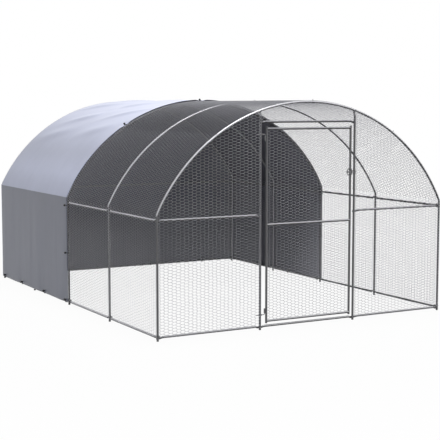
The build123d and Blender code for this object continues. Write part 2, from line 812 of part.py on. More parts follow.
bolt = make_bolt()
nut = make_nut(nut_across_flats, nut_height, bolt_diameter / 2 + nut_clearance)
hook_nut = make_nut(hook_nut_across_flats, hook_nut_height, hook_diameter / 2 + nut_clearance)
frame_bolts, frame_nuts = bolted(seats, bolt, nut)
for height in (lower_hinge_height, upper_hinge_height):
    for side in (-1, 1):
        face = Plane((-door_post_x + side * tube_radius, front_y, height), z_dir=(side, 0, 0))
        frame_nuts.append(hook_nut.moved(face.location))
export_group(frame_bolts, "frame_bolts")
export_group(frame_nuts, "frame_nuts")

plate_seats = []
for side in (-1, 1):
    plate_bolt_z = latch_height + side * latch_bolt_offset
    plane = Plane((latch_stile_x, front_y, plate_bolt_z), z_dir=inward["front"])
    plate_seats.append((plane, plate_front - tube_radius, 0))
plate_bolts, plate_nuts = bolted(plate_seats, bolt, nut)
export_group(plate_bolts + plate_nuts, "latch_plate_bolts")

# Netting
wall_reach = back_y + net_overlap
net_wall_x = post_x + net_standoff
wall_start = (hoop_ys[cover_hoop], upper_tie_height)
left_plane = Plane((-net_wall_x, 0, 0), x_dir=(0, -1, 0), z_dir=(-1, 0, 0))
right_plane = Plane((net_wall_x, 0, 0), x_dir=(0, 1, 0), z_dir=(1, 0, 0))
for plane, name in ((left_plane, "left_wall_net"), (right_plane, "right_wall_net")):
    net = flat_net(
        plane, -wall_reach, wall_reach, wall_net_foot, eave_kink_height, wall_start, wall_net_coarseness
    )
    export(net, name)

seam = math.degrees(roof_seam_half_gap / roof_net_radius)
seams = [-kink_angle - seam] + joint_bolt_angles + [kink_angle + seam]
strip_names = ["roof_net_left_low", "roof_net_left_high", "roof_net_right_high", "roof_net_right_low"]
for first, last, name in zip(seams, seams[1:], strip_names):
    export(roof_net(first + seam, last - seam), name)

front_plane = door_face(net_standoff)
outer_edge = post_x + net_overlap
post_edge = door_post_x + net_overlap
latch_edge = door_post_x + front_net_latch_inset
front_middle = (post_x + door_post_x) / 2
left_start = (-front_middle, eave_rail_height)
right_start = (front_middle, eave_rail_height)
back_plane = Plane((0, back_y + net_standoff, 0), x_dir=(-1, 0, 0), z_dir=(0, 1, 0))
export(gable_net(front_plane, -post_x, -post_edge, wall_net_foot, left_start, front_net_coarseness), "front_left_net")
export(gable_net(front_plane, latch_edge, post_x, wall_net_foot, right_start, front_net_coarseness), "front_right_net")
transom_edge = door_post_x - net_overlap
export(
    gable_net(front_plane, -transom_edge, transom_edge, header_height, (0, crown_z), transom_net_coarseness),
    "over_door_net",
)
export(gable_net(back_plane, -post_x, post_x, wall_net_foot, (0, crown_z), back_net_coarseness), "back_net")
door_net = flat_net(
    door_face(-tube_radius - net_clearance - net_thickness),
    hinge_stile_x + door_net_inset,
    latch_stile_x - door_net_inset,
    door_bottom_rail_height,
    door_top_rail_height,
    ((hinge_stile_x + latch_stile_x) / 2, door_middle_rail_height),
    door_net_coarseness,
)
export(door_net, "door_net")

# Cover and ties
cover_back_y = back_y + cover_standoff
edge_ties = []
for side in (-1, 1):
    for height in (upper_tie_height, middle_tie_height):
        origin = (side * post_x, hoop_ys[cover_hoop], height)
        edge_ties.append(Plane(origin, x_dir=(side, 0, 0), z_dir=(0, 0, side)))
for angle in arch_tie_angles:
    turn = math.radians(angle)
    origin = hoop_point(angle, hoop_ys[cover_hoop])
    edge_ties.append(Plane(origin, x_dir=radial(angle), z_dir=(-math.cos(turn), 0, math.sin(turn))))
hem_ties = []
for side in (-1, 1):
    for offset_y in hem_tie_offsets:
        origin = (side * post_x, hoop_ys[cover_hoop] + offset_y, base_rail_height)
        hem_ties.append(Plane(origin, x_dir=(side, 0, 0), z_dir=(0, -side, 0)))
back_ties = [Plane((x, back_y, base_rail_height), x_dir=(0, 1, 0), z_dir=(1, 0, 0)) for x in back_tie_offsets]
edge_eyelet = tube_radius + edge_eyelet_gap


def punch_eyelets(planes, distance):
    for plane in planes:
        eyelet = Plane(plane.from_local_coords((cover_standoff, distance, 0)), z_dir=plane.x_dir)
        with Locations(eyelet.location):
            Cylinder(eyelet_diameter / 2, tube_diameter, mode=Mode.SUBTRACT)


with BuildPart() as canopy:
    extrude(cover_outline(cover_back_y, cover_face), amount=cover_back_y - cover_front_y)
    extrude(
        cover_outline(cover_back_y, cover_standoff), amount=cover_back_y - cover_front_y, mode=Mode.SUBTRACT
    )
    punch_eyelets(edge_ties, edge_eyelet)
    punch_eyelets(hem_ties, hem_eyelet_rise)
export(canopy.part, "cover_canopy")

with BuildPart() as back_panel:
    extrude(cover_outline(cover_back_y + cover_thickness, cover_face), amount=cover_thickness)
    punch_eyelets(back_ties, hem_eyelet_rise)
export(back_panel.part, "cover_back_panel")

edge_tie = make_tie(edge_eyelet)
hem_tie = make_tie(hem_eyelet_rise)
ties = [edge_tie.moved(plane.location) for plane in edge_ties]
ties += [hem_tie.moved(plane.location) for plane in hem_ties + back_ties]
export_group(ties, "cover_ties")
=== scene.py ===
import math

import bpy
import numpy as np
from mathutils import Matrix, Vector


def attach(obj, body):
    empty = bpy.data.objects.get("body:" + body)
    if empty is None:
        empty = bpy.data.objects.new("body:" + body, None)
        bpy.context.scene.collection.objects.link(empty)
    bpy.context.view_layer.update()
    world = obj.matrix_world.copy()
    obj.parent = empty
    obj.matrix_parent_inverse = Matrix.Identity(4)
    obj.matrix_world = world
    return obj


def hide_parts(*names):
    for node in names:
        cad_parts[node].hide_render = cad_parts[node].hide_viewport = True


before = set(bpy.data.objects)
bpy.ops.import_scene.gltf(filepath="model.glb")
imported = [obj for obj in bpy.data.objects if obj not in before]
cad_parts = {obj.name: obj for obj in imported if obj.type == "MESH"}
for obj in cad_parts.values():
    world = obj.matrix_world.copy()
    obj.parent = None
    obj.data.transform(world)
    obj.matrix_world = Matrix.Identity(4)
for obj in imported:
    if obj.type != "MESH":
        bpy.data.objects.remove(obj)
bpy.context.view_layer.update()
print("frame loaded:", len(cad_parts), "nodes")

# sizes of the run, in metres, as the tubes were cut; a seat is the gap between pieces that lie on each other
run = {
    "postX": 1.490, "endY": 1.990, "hoops": 5, "tubeRadius": 0.010, "crownZ": 1.990, "kinkZ": 1.060, "seat": 0.0003,
}
rise = run["crownZ"] - run["kinkZ"]
hoopRadius = (run["postX"] ** 2 + rise**2) / (2 * rise)
hoopCentreZ = run["crownZ"] - hoopRadius
hoopYs = np.linspace(-run["endY"], run["endY"], run["hoops"])
zAxis = np.array([0.0, 0.0, 1.0])


# z of a circle about the hoop's centre, above a place across the run
def archHeight(x, radius):
    return hoopCentreZ + np.sqrt(radius**2 - np.asarray(x, float) ** 2)


# quads between neighbouring points of a rows by columns grid; a wrapped side joins its last line to its first
def gridQuads(rows, columns, wrapRows=False, wrapColumns=False):
    index = np.arange(rows * columns).reshape(rows, columns)
    if wrapRows:
        index = np.vstack([index, index[:1]])
    if wrapColumns:
        index = np.hstack([index, index[:, :1]])
    return np.stack([index[:-1, :-1], index[:-1, 1:], index[1:, 1:], index[1:, :-1]], -1).reshape(-1, 4)


# the same quads for each of many equal patches, shifted by the points of the patches before it
def manyQuads(quads, pointsEach, count):
    return (quads[None] + (np.arange(count) * pointsEach)[:, None, None]).reshape(-1, 4)


# unit steps along a closed path, each from the point before to the point after
def pathSteps(path):
    ahead = np.roll(path, -1, 0) - np.roll(path, 1, 0)
    return ahead / np.linalg.norm(ahead, axis=1, keepdims=True)


# evenly spaced angles round a circle
def roundAngles(sides):
    return np.linspace(0, 2 * math.pi, sides, endpoint=False)


# a mesh object at the origin from arrays of points and quads
def newPiece(name, points, quads, materials, uv=None, smooth=True):
    points = np.asarray(points, np.float32).reshape(-1, 3)
    quads = np.asarray(quads, np.int32)
    mesh = bpy.data.meshes.new(name)
    mesh.vertices.add(len(points))
    mesh.vertices.foreach_set("co", points.ravel())
    mesh.loops.add(quads.size)
    mesh.loops.foreach_set("vertex_index", quads.ravel())
    mesh.polygons.add(len(quads))
    mesh.polygons.foreach_set("loop_start", np.arange(0, quads.size, 4, dtype=np.int32))
    mesh.update(calc_edges=True)
    if uv is not None:
        layer = mesh.uv_layers.new(name="cut")
        layer.data.foreach_set("uv", np.asarray(uv, np.float32)[quads.ravel()].ravel())
    mesh.polygons.foreach_set("use_smooth", np.full(len(quads), smooth))
    piece = bpy.data.objects.new(name, mesh)
    bpy.context.scene.collection.objects.link(piece)
    for material in materials:
        mesh.materials.append(material)
    return piece


# a shader node with its settings and input values
def addNode(tree, kind, values=None, **settings):
    made = tree.nodes.new(kind)
    for key, value in settings.items():
        setattr(made, key, value)
    for key, value in (values or {}).items():
        made.inputs[key].default_value = value
    return made


# links, each from one node's output to another node's input
def join(tree, *links):
    for source, output, target, socket in links:
        tree.links.new(source.outputs[output], target.inputs[socket])


# a map of one range of values onto another, straight or with eased ends
def mapRange(tree, fromRange=(0.0, 1.0), toRange=(0.0, 1.0), eased=False):
    values = dict(zip(("From Min", "From Max", "To Min", "To Max"), (*fromRange, *toRange)))
    return addNode(tree, "ShaderNodeMapRange", values, interpolation_type="SMOOTHSTEP" if eased else "LINEAR")


# a bump of a strength and a depth in metres
def addBump(tree, strength, depth):
    return addNode(tree, "ShaderNodeBump", {"Strength": strength, "Distance": depth})


# a colour ramp through tones at rising places of its scale
def toneRamp(tree, tones, places=(0.0, 1.0)):
    ramp = addNode(tree, "ShaderNodeValToRGB")
    for place in places[1:-1]:
        ramp.color_ramp.elements.new(place)
    for element, place, tone in zip(ramp.color_ramp.elements, places, tones):
        element.position, element.color = place, (*tone, 1)
    return ramp


# a node group with its sockets, and its nodes for what goes in and what comes out
def newGroup(name, inputs, outputs):
    group = bpy.data.node_groups.new(name, "ShaderNodeTree")
    for label, kind, value in inputs:
        socket = group.interface.new_socket(label, in_out="INPUT", socket_type=kind)
        socket.default_value = value
    for label, kind in outputs:
        group.interface.new_socket(label, in_out="OUTPUT", socket_type=kind)
    return group, group.nodes.new("NodeGroupInput"), group.nodes.new("NodeGroupOutput")


# a material with its node tree and its shader
def newMaterial(name):
    material = bpy.data.materials.new(name)
    material.use_nodes = True
    tree = material.node_tree
    return material, tree, tree.nodes["Principled BSDF"]


number, colour = "NodeSocketFloat", "NodeSocketColor"
zincRules = {
    "tonesAt": (0.2, 0.85), "dullAt": (0.3, 0.7), "grainDepth": 0.0004,
    "cellShare": 0.65, "grainShare": 0.35,  # parts of the crystal cells and of the grain in the tone
    "turnedAt": (-0.6, 0.1),  # how far a side faces out of the run: from no painted top light to all of it, so sides that face in get painted shade
    "edgeAt": (-0.03, -0.012),  # y at the sheet's front edge: from painted top light to painted shade
    "shadeAt": (0.012, 0.04), "shade": 0.27,  # y behind the edge: up to the even painted light under the sheet, and its share
}
openPaintedLight = (-0.16, 0.36)  # upward part of the normal: from no painted top light to all of it


# zinc grain and painted light: crystal cells and fine noise make the tone, a slow noise the dull patches, and the
# upward part of the surface normal a painted top light, less on sides that face into the run as painted shade; a
# painted shade takes it away under the sheet's front edge, and behind that edge the painted light is an even share
def makeZincGrainAndPaintedLight():
    group, source, sink = newGroup(
        "zincGrainAndPaintedLight",
        [("Cell Size", number, 90.0), ("Grain Size", number, 700.0),
         ("Painted Light From", number, openPaintedLight[0]), ("Painted Light To", number, openPaintedLight[1])],
        [("Tone", number), ("Grain", number), ("Dull", number), ("Painted Top Light", number)],
    )
    place = addNode(group, "ShaderNodeTexCoord")
    upward = addNode(group, "ShaderNodeSeparateXYZ")
    depth = addNode(group, "ShaderNodeSeparateXYZ")
    wallScale = (1 / run["postX"], 1 / run["endY"], 0.0)
    walls = addNode(group, "ShaderNodeVectorMath", {1: wallScale}, operation="MULTIPLY")
    outward = addNode(group, "ShaderNodeVectorMath", operation="DOT_PRODUCT")
    turnedOut = mapRange(group, zincRules["turnedAt"], eased=True)
    # painted shade of the sheet's front edge on the tubes under it
    edgeShade = mapRange(group, zincRules["edgeAt"])
    shaded = mapRange(group, zincRules["shadeAt"], (0.0, zincRules["shade"]))
    # painted top light, less on sides that face into the run: painted shade
    openTopLight = addNode(group, "ShaderNodeMath", operation="MULTIPLY")
    weather = addNode(group, "ShaderNodeMix", data_type="FLOAT")
    sky = mapRange(group, eased=True)
    cells = addNode(group, "ShaderNodeTexVoronoi", feature="F1")
    grain = addNode(group, "ShaderNodeTexNoise", {"Detail": 3.0, "Roughness": 0.6})
    dull = addNode(group, "ShaderNodeTexNoise", {"Scale": 5.0, "Detail": 4.0, "Roughness": 0.62})
    split = addNode(group, "ShaderNodeSeparateColor")
    mixed = addNode(group, "ShaderNodeMath", {1: zincRules["cellShare"]}, operation="MULTIPLY")
    toned = addNode(group, "ShaderNodeMath", {1: zincRules["grainShare"]}, operation="MULTIPLY_ADD")
    for texture in (cells, grain, dull):
        join(group, (place, "Object", texture, "Vector"))
    join(
        group,
        (source, "Cell Size", cells, "Scale"), (source, "Grain Size", grain, "Scale"),
        (cells, "Color", split, "Color"), (split, "Red", mixed, 0), (grain, "Fac", toned, 0),
        (mixed, 0, toned, 2), (toned, 0, sink, "Tone"), (grain, "Fac", sink, "Grain"),
        (dull, "Fac", sink, "Dull"), (place, "Normal", upward, "Vector"), (upward, "Z", sky, "Value"),
        (source, "Painted Light From", sky, "From Min"), (source, "Painted Light To", sky, "From Max"),
        (place, "Object", walls, 0), (walls, "Vector", outward, 0), (place, "Normal", outward, 1),
        (outward, "Value", turnedOut, "Value"), (turnedOut, "Result", openTopLight, 0), (sky, "Result", openTopLight, 1),
        (place, "Object", depth, "Vector"), (depth, "Y", edgeShade, "Value"), (depth, "Y", shaded, "Value"),
        (edgeShade, "Result", weather, "Factor"), (openTopLight, 0, weather, "A"), (shaded, "Result", weather, "B"),
        (weather, "Result", sink, "Painted Top Light"),
    )
    return group


zincGrainAndPaintedLight = makeZincGrainAndPaintedLight()


# a zinc finish: two tones mixed by the crystal cells, then the painted top tone where it faces the sky, a painted
# highlight (a painted shade on the darker roof wires); dull patches raise the roughness and the grain gives a fine
# bump
def makeZinc(name, look, dark, pale, weathered):
    material, tree, shader = newMaterial(name)
    values = {"Cell Size": look["cellSize"], "Painted Light From": look["bloom"][0], "Painted Light To": look["bloom"][1]}
    bloom = addNode(tree, "ShaderNodeGroup", values, node_tree=zincGrainAndPaintedLight)
    tone = toneRamp(tree, (dark, pale), zincRules["tonesAt"])
    rough = mapRange(tree, zincRules["dullAt"], look["rough"])
    relief = addBump(tree, look["bump"], zincRules["grainDepth"])
    blend = addNode(tree, "ShaderNodeMix", {"B": (*weathered, 1)}, data_type="RGBA")
    join(
        tree,
        (bloom, "Tone", tone, "Fac"), (bloom, "Painted Top Light", blend, "Factor"), (tone, "Color", blend, "A"),
        (blend, "Result", shader, "Base Color"), (bloom, "Dull", rough, "Value"),
        (rough, "Result", shader, "Roughness"), (bloom, "Grain", relief, "Height"),
        (relief, "Normal", shader, "Normal"),
    )
    shader.inputs["Metallic"].default_value = look["metallic"]
    shader.inputs["Specular IOR Level"].default_value = look["gloss"]
    return material


# the upward part of the normal over which the painted top light comes in; round tubes take it over a narrow range
openLook = {"gloss": 0.5, "bloom": openPaintedLight}
roundLook = {"gloss": 0.3, "bloom": (-0.06, 0.14)}
tubeLook = {"metallic": 0.25, "rough": (0.28, 0.40), "cellSize": 110.0, "bump": 0.25, **roundLook}
fittingLook = {"metallic": 0.45, "rough": (0.28, 0.42), "cellSize": 160.0, "bump": 0.30, **openLook}
wireLook = {"metallic": 0.15, "rough": (0.38, 0.50), "cellSize": 260.0, "bump": 0.15, **openLook}
eyeletLook = {"metallic": 0.90, "rough": (0.22, 0.34), "cellSize": 300.0, "bump": 0.10, **openLook}
zincTones = {  # surface, then the dark and the pale tone, and the painted top tone for faces turned to the sky, a painted highlight where it is paler and a painted shade where it is darker
    "tubeZinc": (tubeLook, (0.050, 0.050, 0.052), (0.088, 0.088, 0.091), (0.86, 0.86, 0.89)),
    "fittingZinc": (fittingLook, (0.13, 0.13, 0.135), (0.22, 0.22, 0.227), (0.45, 0.45, 0.47)),
    # the wire finishes are copies of one zinc, lighter and darker by where the nets stand: painted light and shade;
    # the door's and the shaded copies are darker, and on the roof strips the top tone is a painted shade
    "wireZinc": (wireLook, (0.70, 0.70, 0.745), (0.80, 0.80, 0.85), (0.84, 0.84, 0.89)),
    "roofWireZincPaintedShade": (wireLook, (0.80, 0.80, 0.87), (0.90, 0.90, 0.97), (0.20, 0.20, 0.218)),
    "slopeWireZincPaintedShade": (wireLook, (0.80, 0.80, 0.87), (0.90, 0.90, 0.97), (0.40, 0.40, 0.435)),
    "doorWireZincPaintedShade": (wireLook, (0.62, 0.62, 0.66), (0.71, 0.71, 0.755), (0.74, 0.74, 0.79)),
    "shadedWireZinc": (wireLook, (0.22, 0.22, 0.25), (0.29, 0.29, 0.33), (0.33, 0.33, 0.37)),
    "eyeletZinc": (eyeletLook, (0.34, 0.34, 0.35), (0.52, 0.52, 0.53), (0.60, 0.60, 0.61)),
}
zinc = {name: makeZinc(name, *tones) for name, tones in zincTones.items()}

sheetRules = {
    "tonesAt": (0.3, 0.7), "creases": (0.18, 0.02), "tapes": (0.25, 0.0003),  # the bumps' strengths and depths
    "highlightAt": (0.74, 1.0),  # upward part of the normal: from no painted highlight to all of it
    "footLightAt": (0.10, 0.85), "footLightTone": (0.74, 0.74, 0.80),  # z from the most painted foot light up to none
}
sheetLooks = {
    "sheetOutside": {
        "tones": ((0.46, 0.492, 0.64), (0.515, 0.548, 0.705)), "paintedTopHighlight": (0.66, 0.695, 0.87),
        # upward part of the normal, and the share of the tone there: painted shade on the walls, painted light on the
        # slopes
        "paintedSlopeShares": [(0.0, 0.76), (0.10, 0.78), (0.40, 1.27), (0.54, 1.28), (0.70, 0.93), (0.80, 0.99)],
        "rough": (0.30, 0.40), "gloss": 0.5,
    },
    # the canopy's inside is a paler copy of the panel's inside: painted light through the sheet
    "canopyInsidePaintedLight": {
        "tones": ((0.235, 0.235, 0.285), (0.27, 0.27, 0.327)), "footLightShare": 0.40, "rough": (0.6, 0.72), "gloss": 0.3,
    },
    "panelInside": {
        "tones": ((0.205, 0.205, 0.25), (0.24, 0.24, 0.292)), "footLightShare": 0.85, "rough": (0.6, 0.72), "gloss": 0.3,
    },
}


# tape weave: crossed waves of the cut's own coordinates give the height, a slow noise the mottle and a long noise the
# soft creases
def makeTapeWeave():
    group, source, sink = newGroup(
        "tapeWeave",
        [("Tapes", number, 420.0), ("Mottle Size", number, 2.2)],
        [("Height", number), ("Mottle", number), ("Crease", number)],
    )
    place = addNode(group, "ShaderNodeUVMap", uv_map="cut")
    across = addNode(group, "ShaderNodeTexWave", {"Distortion": 0.0}, wave_type="BANDS", bands_direction="X")
    along = addNode(group, "ShaderNodeTexWave", {"Distortion": 0.0}, wave_type="BANDS", bands_direction="Y")
    woven = addNode(group, "ShaderNodeMath", operation="MAXIMUM")
    mottle = addNode(group, "ShaderNodeTexNoise", {"Detail": 5.0, "Roughness": 0.6})
    stretched = addNode(group, "ShaderNodeMapping", {"Scale": (0.35, 2.4, 1.0), "Rotation": (0.0, 0.0, 0.18)})
    creaseValues = {"Scale": 2.6, "Detail": 3.0, "Roughness": 0.5, "Distortion": 0.6}
    crease = addNode(group, "ShaderNodeTexNoise", creaseValues)
    for texture in (across, along, mottle, stretched):
        join(group, (place, "UV", texture, "Vector"))
    join(
        group,
        (source, "Tapes", across, "Scale"), (source, "Tapes", along, "Scale"),
        (source, "Mottle Size", mottle, "Scale"), (stretched, "Vector", crease, "Vector"),
        (across, "Fac", woven, 0), (along, "Fac", woven, 1), (woven, 0, sink, "Height"),
        (mottle, "Fac", sink, "Mottle"), (crease, "Fac", sink, "Crease"),
    )
    return group


# painted foot light: a pale tone over the cloth's own, most at the foot and thinner with height, painted light that
# falls in at the foot
def makePaintedFootLight():
    group, source, sink = newGroup(
        "paintedFootLight", [("Tone", colour, (0.25, 0.25, 0.25, 1)), ("Foot Light Share", number, 0.5)], [("Color", colour)]
    )
    place = addNode(group, "ShaderNodeTexCoord")
    height = addNode(group, "ShaderNodeSeparateXYZ")
    towardsFoot = mapRange(group, sheetRules["footLightAt"], (1.0, 0.0))
    paleFoot = addNode(group, "ShaderNodeMix", {"B": (*sheetRules["footLightTone"], 1)}, data_type="RGBA")
    join(
        group,
        (place, "Object", height, "Vector"), (height, "Z", towardsFoot, "Value"),
        (source, "Foot Light Share", towardsFoot, "To Min"), (towardsFoot, "Result", paleFoot, "Factor"), (source, "Tone", paleFoot, "A"),
        (paleFoot, "Result", sink, "Color"),
    )
    return group


tapeWeave = makeTapeWeave()
paintedFootLight = makePaintedFootLight()


# painted light on a sheet: by the upward part of the normal, the tone is multiplied by the painted shares, darker on
# the walls and lighter on the lower slopes, and a painted highlight pales what faces straight up
def addPaintedSlopeLight(tree, tone, look):
    facing = addNode(tree, "ShaderNodeNewGeometry")
    upward = addNode(tree, "ShaderNodeSeparateXYZ")
    places, shares = zip(*look["paintedSlopeShares"])
    slopeRamp = toneRamp(tree, [(share, share, share) for share in shares], places)
    slopeRamp.color_ramp.interpolation = "EASE"
    slopeLit = addNode(tree, "ShaderNodeMix", {"Factor": 1.0}, data_type="RGBA", blend_type="MULTIPLY")
    highlightShare = mapRange(tree, sheetRules["highlightAt"], eased=True)
    topHighlight = addNode(tree, "ShaderNodeMix", {"B": (*look["paintedTopHighlight"], 1)}, data_type="RGBA")
    join(
        tree,
        (facing, "Normal", upward, "Vector"), (upward, "Z", slopeRamp, "Fac"), (tone, "Color", slopeLit, "A"),
        (slopeRamp, "Color", slopeLit, "B"), (upward, "Z", highlightShare, "Value"), (highlightShare, "Result", topHighlight, "Factor"),
        (slopeLit, "Result", topHighlight, "A"),
    )
    return topHighlight


# a coated sheet: mottle mixes two tones, then the outside gets painted light and shade by slope and the inside a pale
# tone at the foot that is painted light; creases and weave give the bump, and the coat follows the mottle in roughness
def makeSheetCloth(name, look):
    material, tree, shader = newMaterial(name)
    weave = addNode(tree, "ShaderNodeGroup", node_tree=tapeWeave)
    tone = toneRamp(tree, look["tones"], sheetRules["tonesAt"])
    rough = mapRange(tree, toRange=look["rough"])
    creases = addBump(tree, *sheetRules["creases"])
    tapes = addBump(tree, *sheetRules["tapes"])
    join(tree, (weave, "Mottle", tone, "Fac"))
    if "paintedSlopeShares" in look:
        join(tree, (addPaintedSlopeLight(tree, tone, look), "Result", shader, "Base Color"))
    else:
        paleFoot = addNode(tree, "ShaderNodeGroup", {"Foot Light Share": look["footLightShare"]}, node_tree=paintedFootLight)
        join(tree, (tone, "Color", paleFoot, "Tone"), (paleFoot, "Color", shader, "Base Color"))
    join(
        tree,
        (weave, "Mottle", rough, "Value"), (rough, "Result", shader, "Roughness"),
        (weave, "Crease", creases, "Height"), (weave, "Height", tapes, "Height"),
        (creases, "Normal", tapes, "Normal"), (tapes, "Normal", shader, "Normal"),
    )
    shader.inputs["Specular IOR Level"].default_value = look["gloss"]
    return material


cloth = {name: makeSheetCloth(name, look) for name, look in sheetLooks.items()}

elasticRules = {"grainSize": 900.0, "dark": (0.6, 0.6, 0.63), "pale": (1.5, 1.5, 1.58), "relief": (0.3, 0.0004)}


# braided elastic and its moulded ball: a fine noise spreads a black shade into two tones and gives the bump
def makeElastic(name, shade, roughness):
    material, tree, shader = newMaterial(name)
    place = addNode(tree, "ShaderNodeTexCoord")
    grain = addNode(tree, "ShaderNodeTexNoise", {"Scale": elasticRules["grainSize"], "Detail": 2.0})
    tone = toneRamp(tree, [[shade * share for share in elasticRules[key]] for key in ("dark", "pale")])
    relief = addBump(tree, *elasticRules["relief"])
    join(
        tree,
        (place, "Object", grain, "Vector"), (grain, "Fac", tone, "Fac"), (tone, "Color", shader, "Base Color"),
        (grain, "Fac", relief, "Height"), (relief, "Normal", shader, "Normal"),
    )
    shader.inputs["Roughness"].default_value = roughness
    return material


elasticCord = makeElastic("elasticCord", 0.016, 0.75)
tieBall = makeElastic("tieBall", 0.012, 0.42)
print("finishes ready:", len(bpy.data.materials), "materials")

# finishes for the tubes, fittings and bolts, which keep their own shapes
fittings = [
    "upper_hinge_hook", "lower_hinge_hook", "upper_hinge_eye", "lower_hinge_eye", "latch_plate", "latch_bar",
    "latch_keeper", "frame_bolts", "frame_nuts", "latch_plate_bolts",
]
for name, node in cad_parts.items():
    node.data.materials.clear()
    node.data.materials.append(zinc["fittingZinc" if name in fittings else "tubeZinc"])

netting = {
    "length": 0.0384, "height": 0.0253, "twist": 0.0235,  # pitch across, pitch up, length of a twisted side
    "wire": 0.0025, "turns": 0.75, "stations": 4,  # wire thickness, and the turns and rings of a twist
    "twistedHalf": (0.67, 0.48), "plainHalf": (0.63, 0.57),  # half width and half depth, in wires
    "shortest": 0.05,  # a side with a smaller share than this inside the outline is left out
    "edgeWire": 0.0016, "edgeSides": 6, "edgeStep": 0.05, "selvedge": 0.003,
    # how far the wires sway, the margin over which that grows, and radians a metre across and up with a strength
    "sway": 0.0012, "margin": 0.06,
    "wavesAcross": [(9.1, 23.0, 1.0), (-17.0, 61.0, 1.0)], "wavesUp": [(19.0, 11.3, 1.0), (71.0, 13.0, 0.7)],
}


# the stretch of each wire inside a convex region, found side by side from the signed distances of its two ends
def clipWires(wires, region):
    first, last = wires[:, 0], wires[:, 1]
    low, high = np.zeros(len(wires)), np.ones(len(wires))
    for p, q in zip(region, np.roll(region, -1, 0)):
        side = q - p
        a = side[0] * (first[:, 1] - p[1]) - side[1] * (first[:, 0] - p[0])
        b = side[0] * (last[:, 1] - p[1]) - side[1] * (last[:, 0] - p[0])
        cross = a / np.where(a == b, 1, a - b)
        low = np.where((a < 0) & (b >= 0), np.maximum(low, cross), low)
        high = np.where((a >= 0) & (b < 0), np.minimum(high, cross), high)
        high = np.where((a < 0) & (b < 0), -1, high)
    keep = high - low > netting["shortest"]
    step = last[keep] - first[keep]
    return np.stack([first[keep] + step * low[keep, None], first[keep] + step * high[keep, None]], 1)


# whole steps of a pitch from a start that cover a range, with one to spare at each end
def pitchSteps(low, high, start, pitch):
    return np.arange(math.floor((low - start) / pitch) - 1, math.ceil((high - start) / pitch) + 2)


# honeycomb netting: cell centres step by the two pitches, every second column half a row up, and each cell owns
# its lower twisted side and its two right-hand slopes
def honeycomb(region, start):
    low, high = region.min(0), region.max(0)
    length, height, half = netting["length"], netting["height"], netting["twist"] / 2
    columns = pitchSteps(low[0], high[0], start[0], length)
    rows = pitchSteps(low[1], high[1], start[1], height)
    column, row = np.meshgrid(columns, rows, indexing="ij")
    across = start[0] + column * length
    up = start[1] + row * height + (column % 2) * height / 2
    centres = np.stack([across, up], -1).reshape(-1, 1, 2)
    reach, lift = length - half, height / 2
    twisted = centres + np.array([[-half, -lift], [half, -lift]])
    upper = centres + np.array([[half, lift], [reach, 0]])
    lower = centres + np.array([[half, -lift], [reach, 0]])
    return clipWires(twisted, region), clipWires(np.concatenate([upper, lower]), region)


# four-sided wire, standing on an edge: at each station the section's corners are turned about the wire by its share
# of the turns
def wirePrisms(wires, halfSection, turns, stations):
    halfWidth, halfDepth = (netting["wire"] * half for half in halfSection)
    share = np.linspace(0, 1, stations)
    step = wires[:, 1] - wires[:, 0]
    along = step / np.linalg.norm(step, axis=1, keepdims=True)
    across = np.stack([-along[:, 1], along[:, 0], np.zeros(len(wires))], -1)
    angle = 2 * math.pi * turns * share
    wide = np.cos(angle)[None, :, None] * across[:, None] + np.sin(angle)[None, :, None] * zAxis
    deep = -np.sin(angle)[None, :, None] * across[:, None] + np.cos(angle)[None, :, None] * zAxis
    middle = np.zeros((len(wires), stations, 3))
    middle[..., :2] = wires[:, None, 0] + step[:, None] * share[None, :, None]
    corners = ((1, 0), (0, 1), (-1, 0), (0, -1))
    points = np.stack([middle + sw * halfWidth * wide + sd * halfDepth * deep for sw, sd in corners], 2)
    quads = manyQuads(gridQuads(stations, 4, wrapColumns=True), stations * 4, len(wires))
    return points.reshape(-1, 3), quads


# the selvedge: a many-sided wire round the region's outline, its sides set off along the outline's normal and outwards
def edgePrism(region):
    sides, runs = netting["edgeSides"], []
    for p, q in zip(region, np.roll(region, -1, 0)):
        count = max(1, math.ceil(np.linalg.norm(q - p) / netting["edgeStep"]))
        runs.append(p + (q - p) * np.linspace(0, 1, count, endpoint=False)[:, None])
    path = np.concatenate(runs)
    ahead = pathSteps(path)
    across = np.stack([-ahead[:, 1], ahead[:, 0], np.zeros(len(path))], -1)
    angle = roundAngles(sides)
    ring = np.cos(angle)[None, :, None] * across[:, None] + np.sin(angle)[None, :, None] * zAxis
    points = np.concatenate([path, np.zeros((len(path), 1))], 1)[:, None] + netting["edgeWire"] / 2 * ring
    return points.reshape(-1, 3), gridQuads(len(path), sides, True, True)


# slow waves over a panel: a sum of sines of its flat coordinates
def waves(u, v, terms):
    return sum(strength * np.sin(u * across + v * up) for across, up, strength in terms)


# one netting panel in its own flat plane, swayed a little by slow waves, then laid where its place function says
def makeNetting(name, node, body, region, start, place, edged, finish):
    region = np.array(region, float)
    twisted, plain = honeycomb(region, start)
    parts = [edgePrism(region)] if edged else []
    parts.append(wirePrisms(twisted, netting["twistedHalf"], netting["turns"], netting["stations"]))
    parts.append(wirePrisms(plain, netting["plainHalf"], 0.0, 2))
    offsets = np.cumsum([0] + [len(points) for points, quads in parts])
    flat = np.concatenate([points for points, quads in parts])
    quads = np.concatenate([quads + offset for (points, quads), offset in zip(parts, offsets)])
    u, v, w = flat.T
    inward = np.min(np.abs(np.stack([u - u.min(), u - u.max(), v - v.min(), v - v.max()])), 0)
    sway = netting["sway"] * np.clip(inward / netting["margin"], 0, 1)
    points = place(u + sway * waves(u, v, netting["wavesAcross"]), v + sway * waves(u, v, netting["wavesUp"]), w)
    piece = newPiece(name, points, quads, [zinc[finish]])
    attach(piece, body)
    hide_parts(node)
    return len(quads) * 2


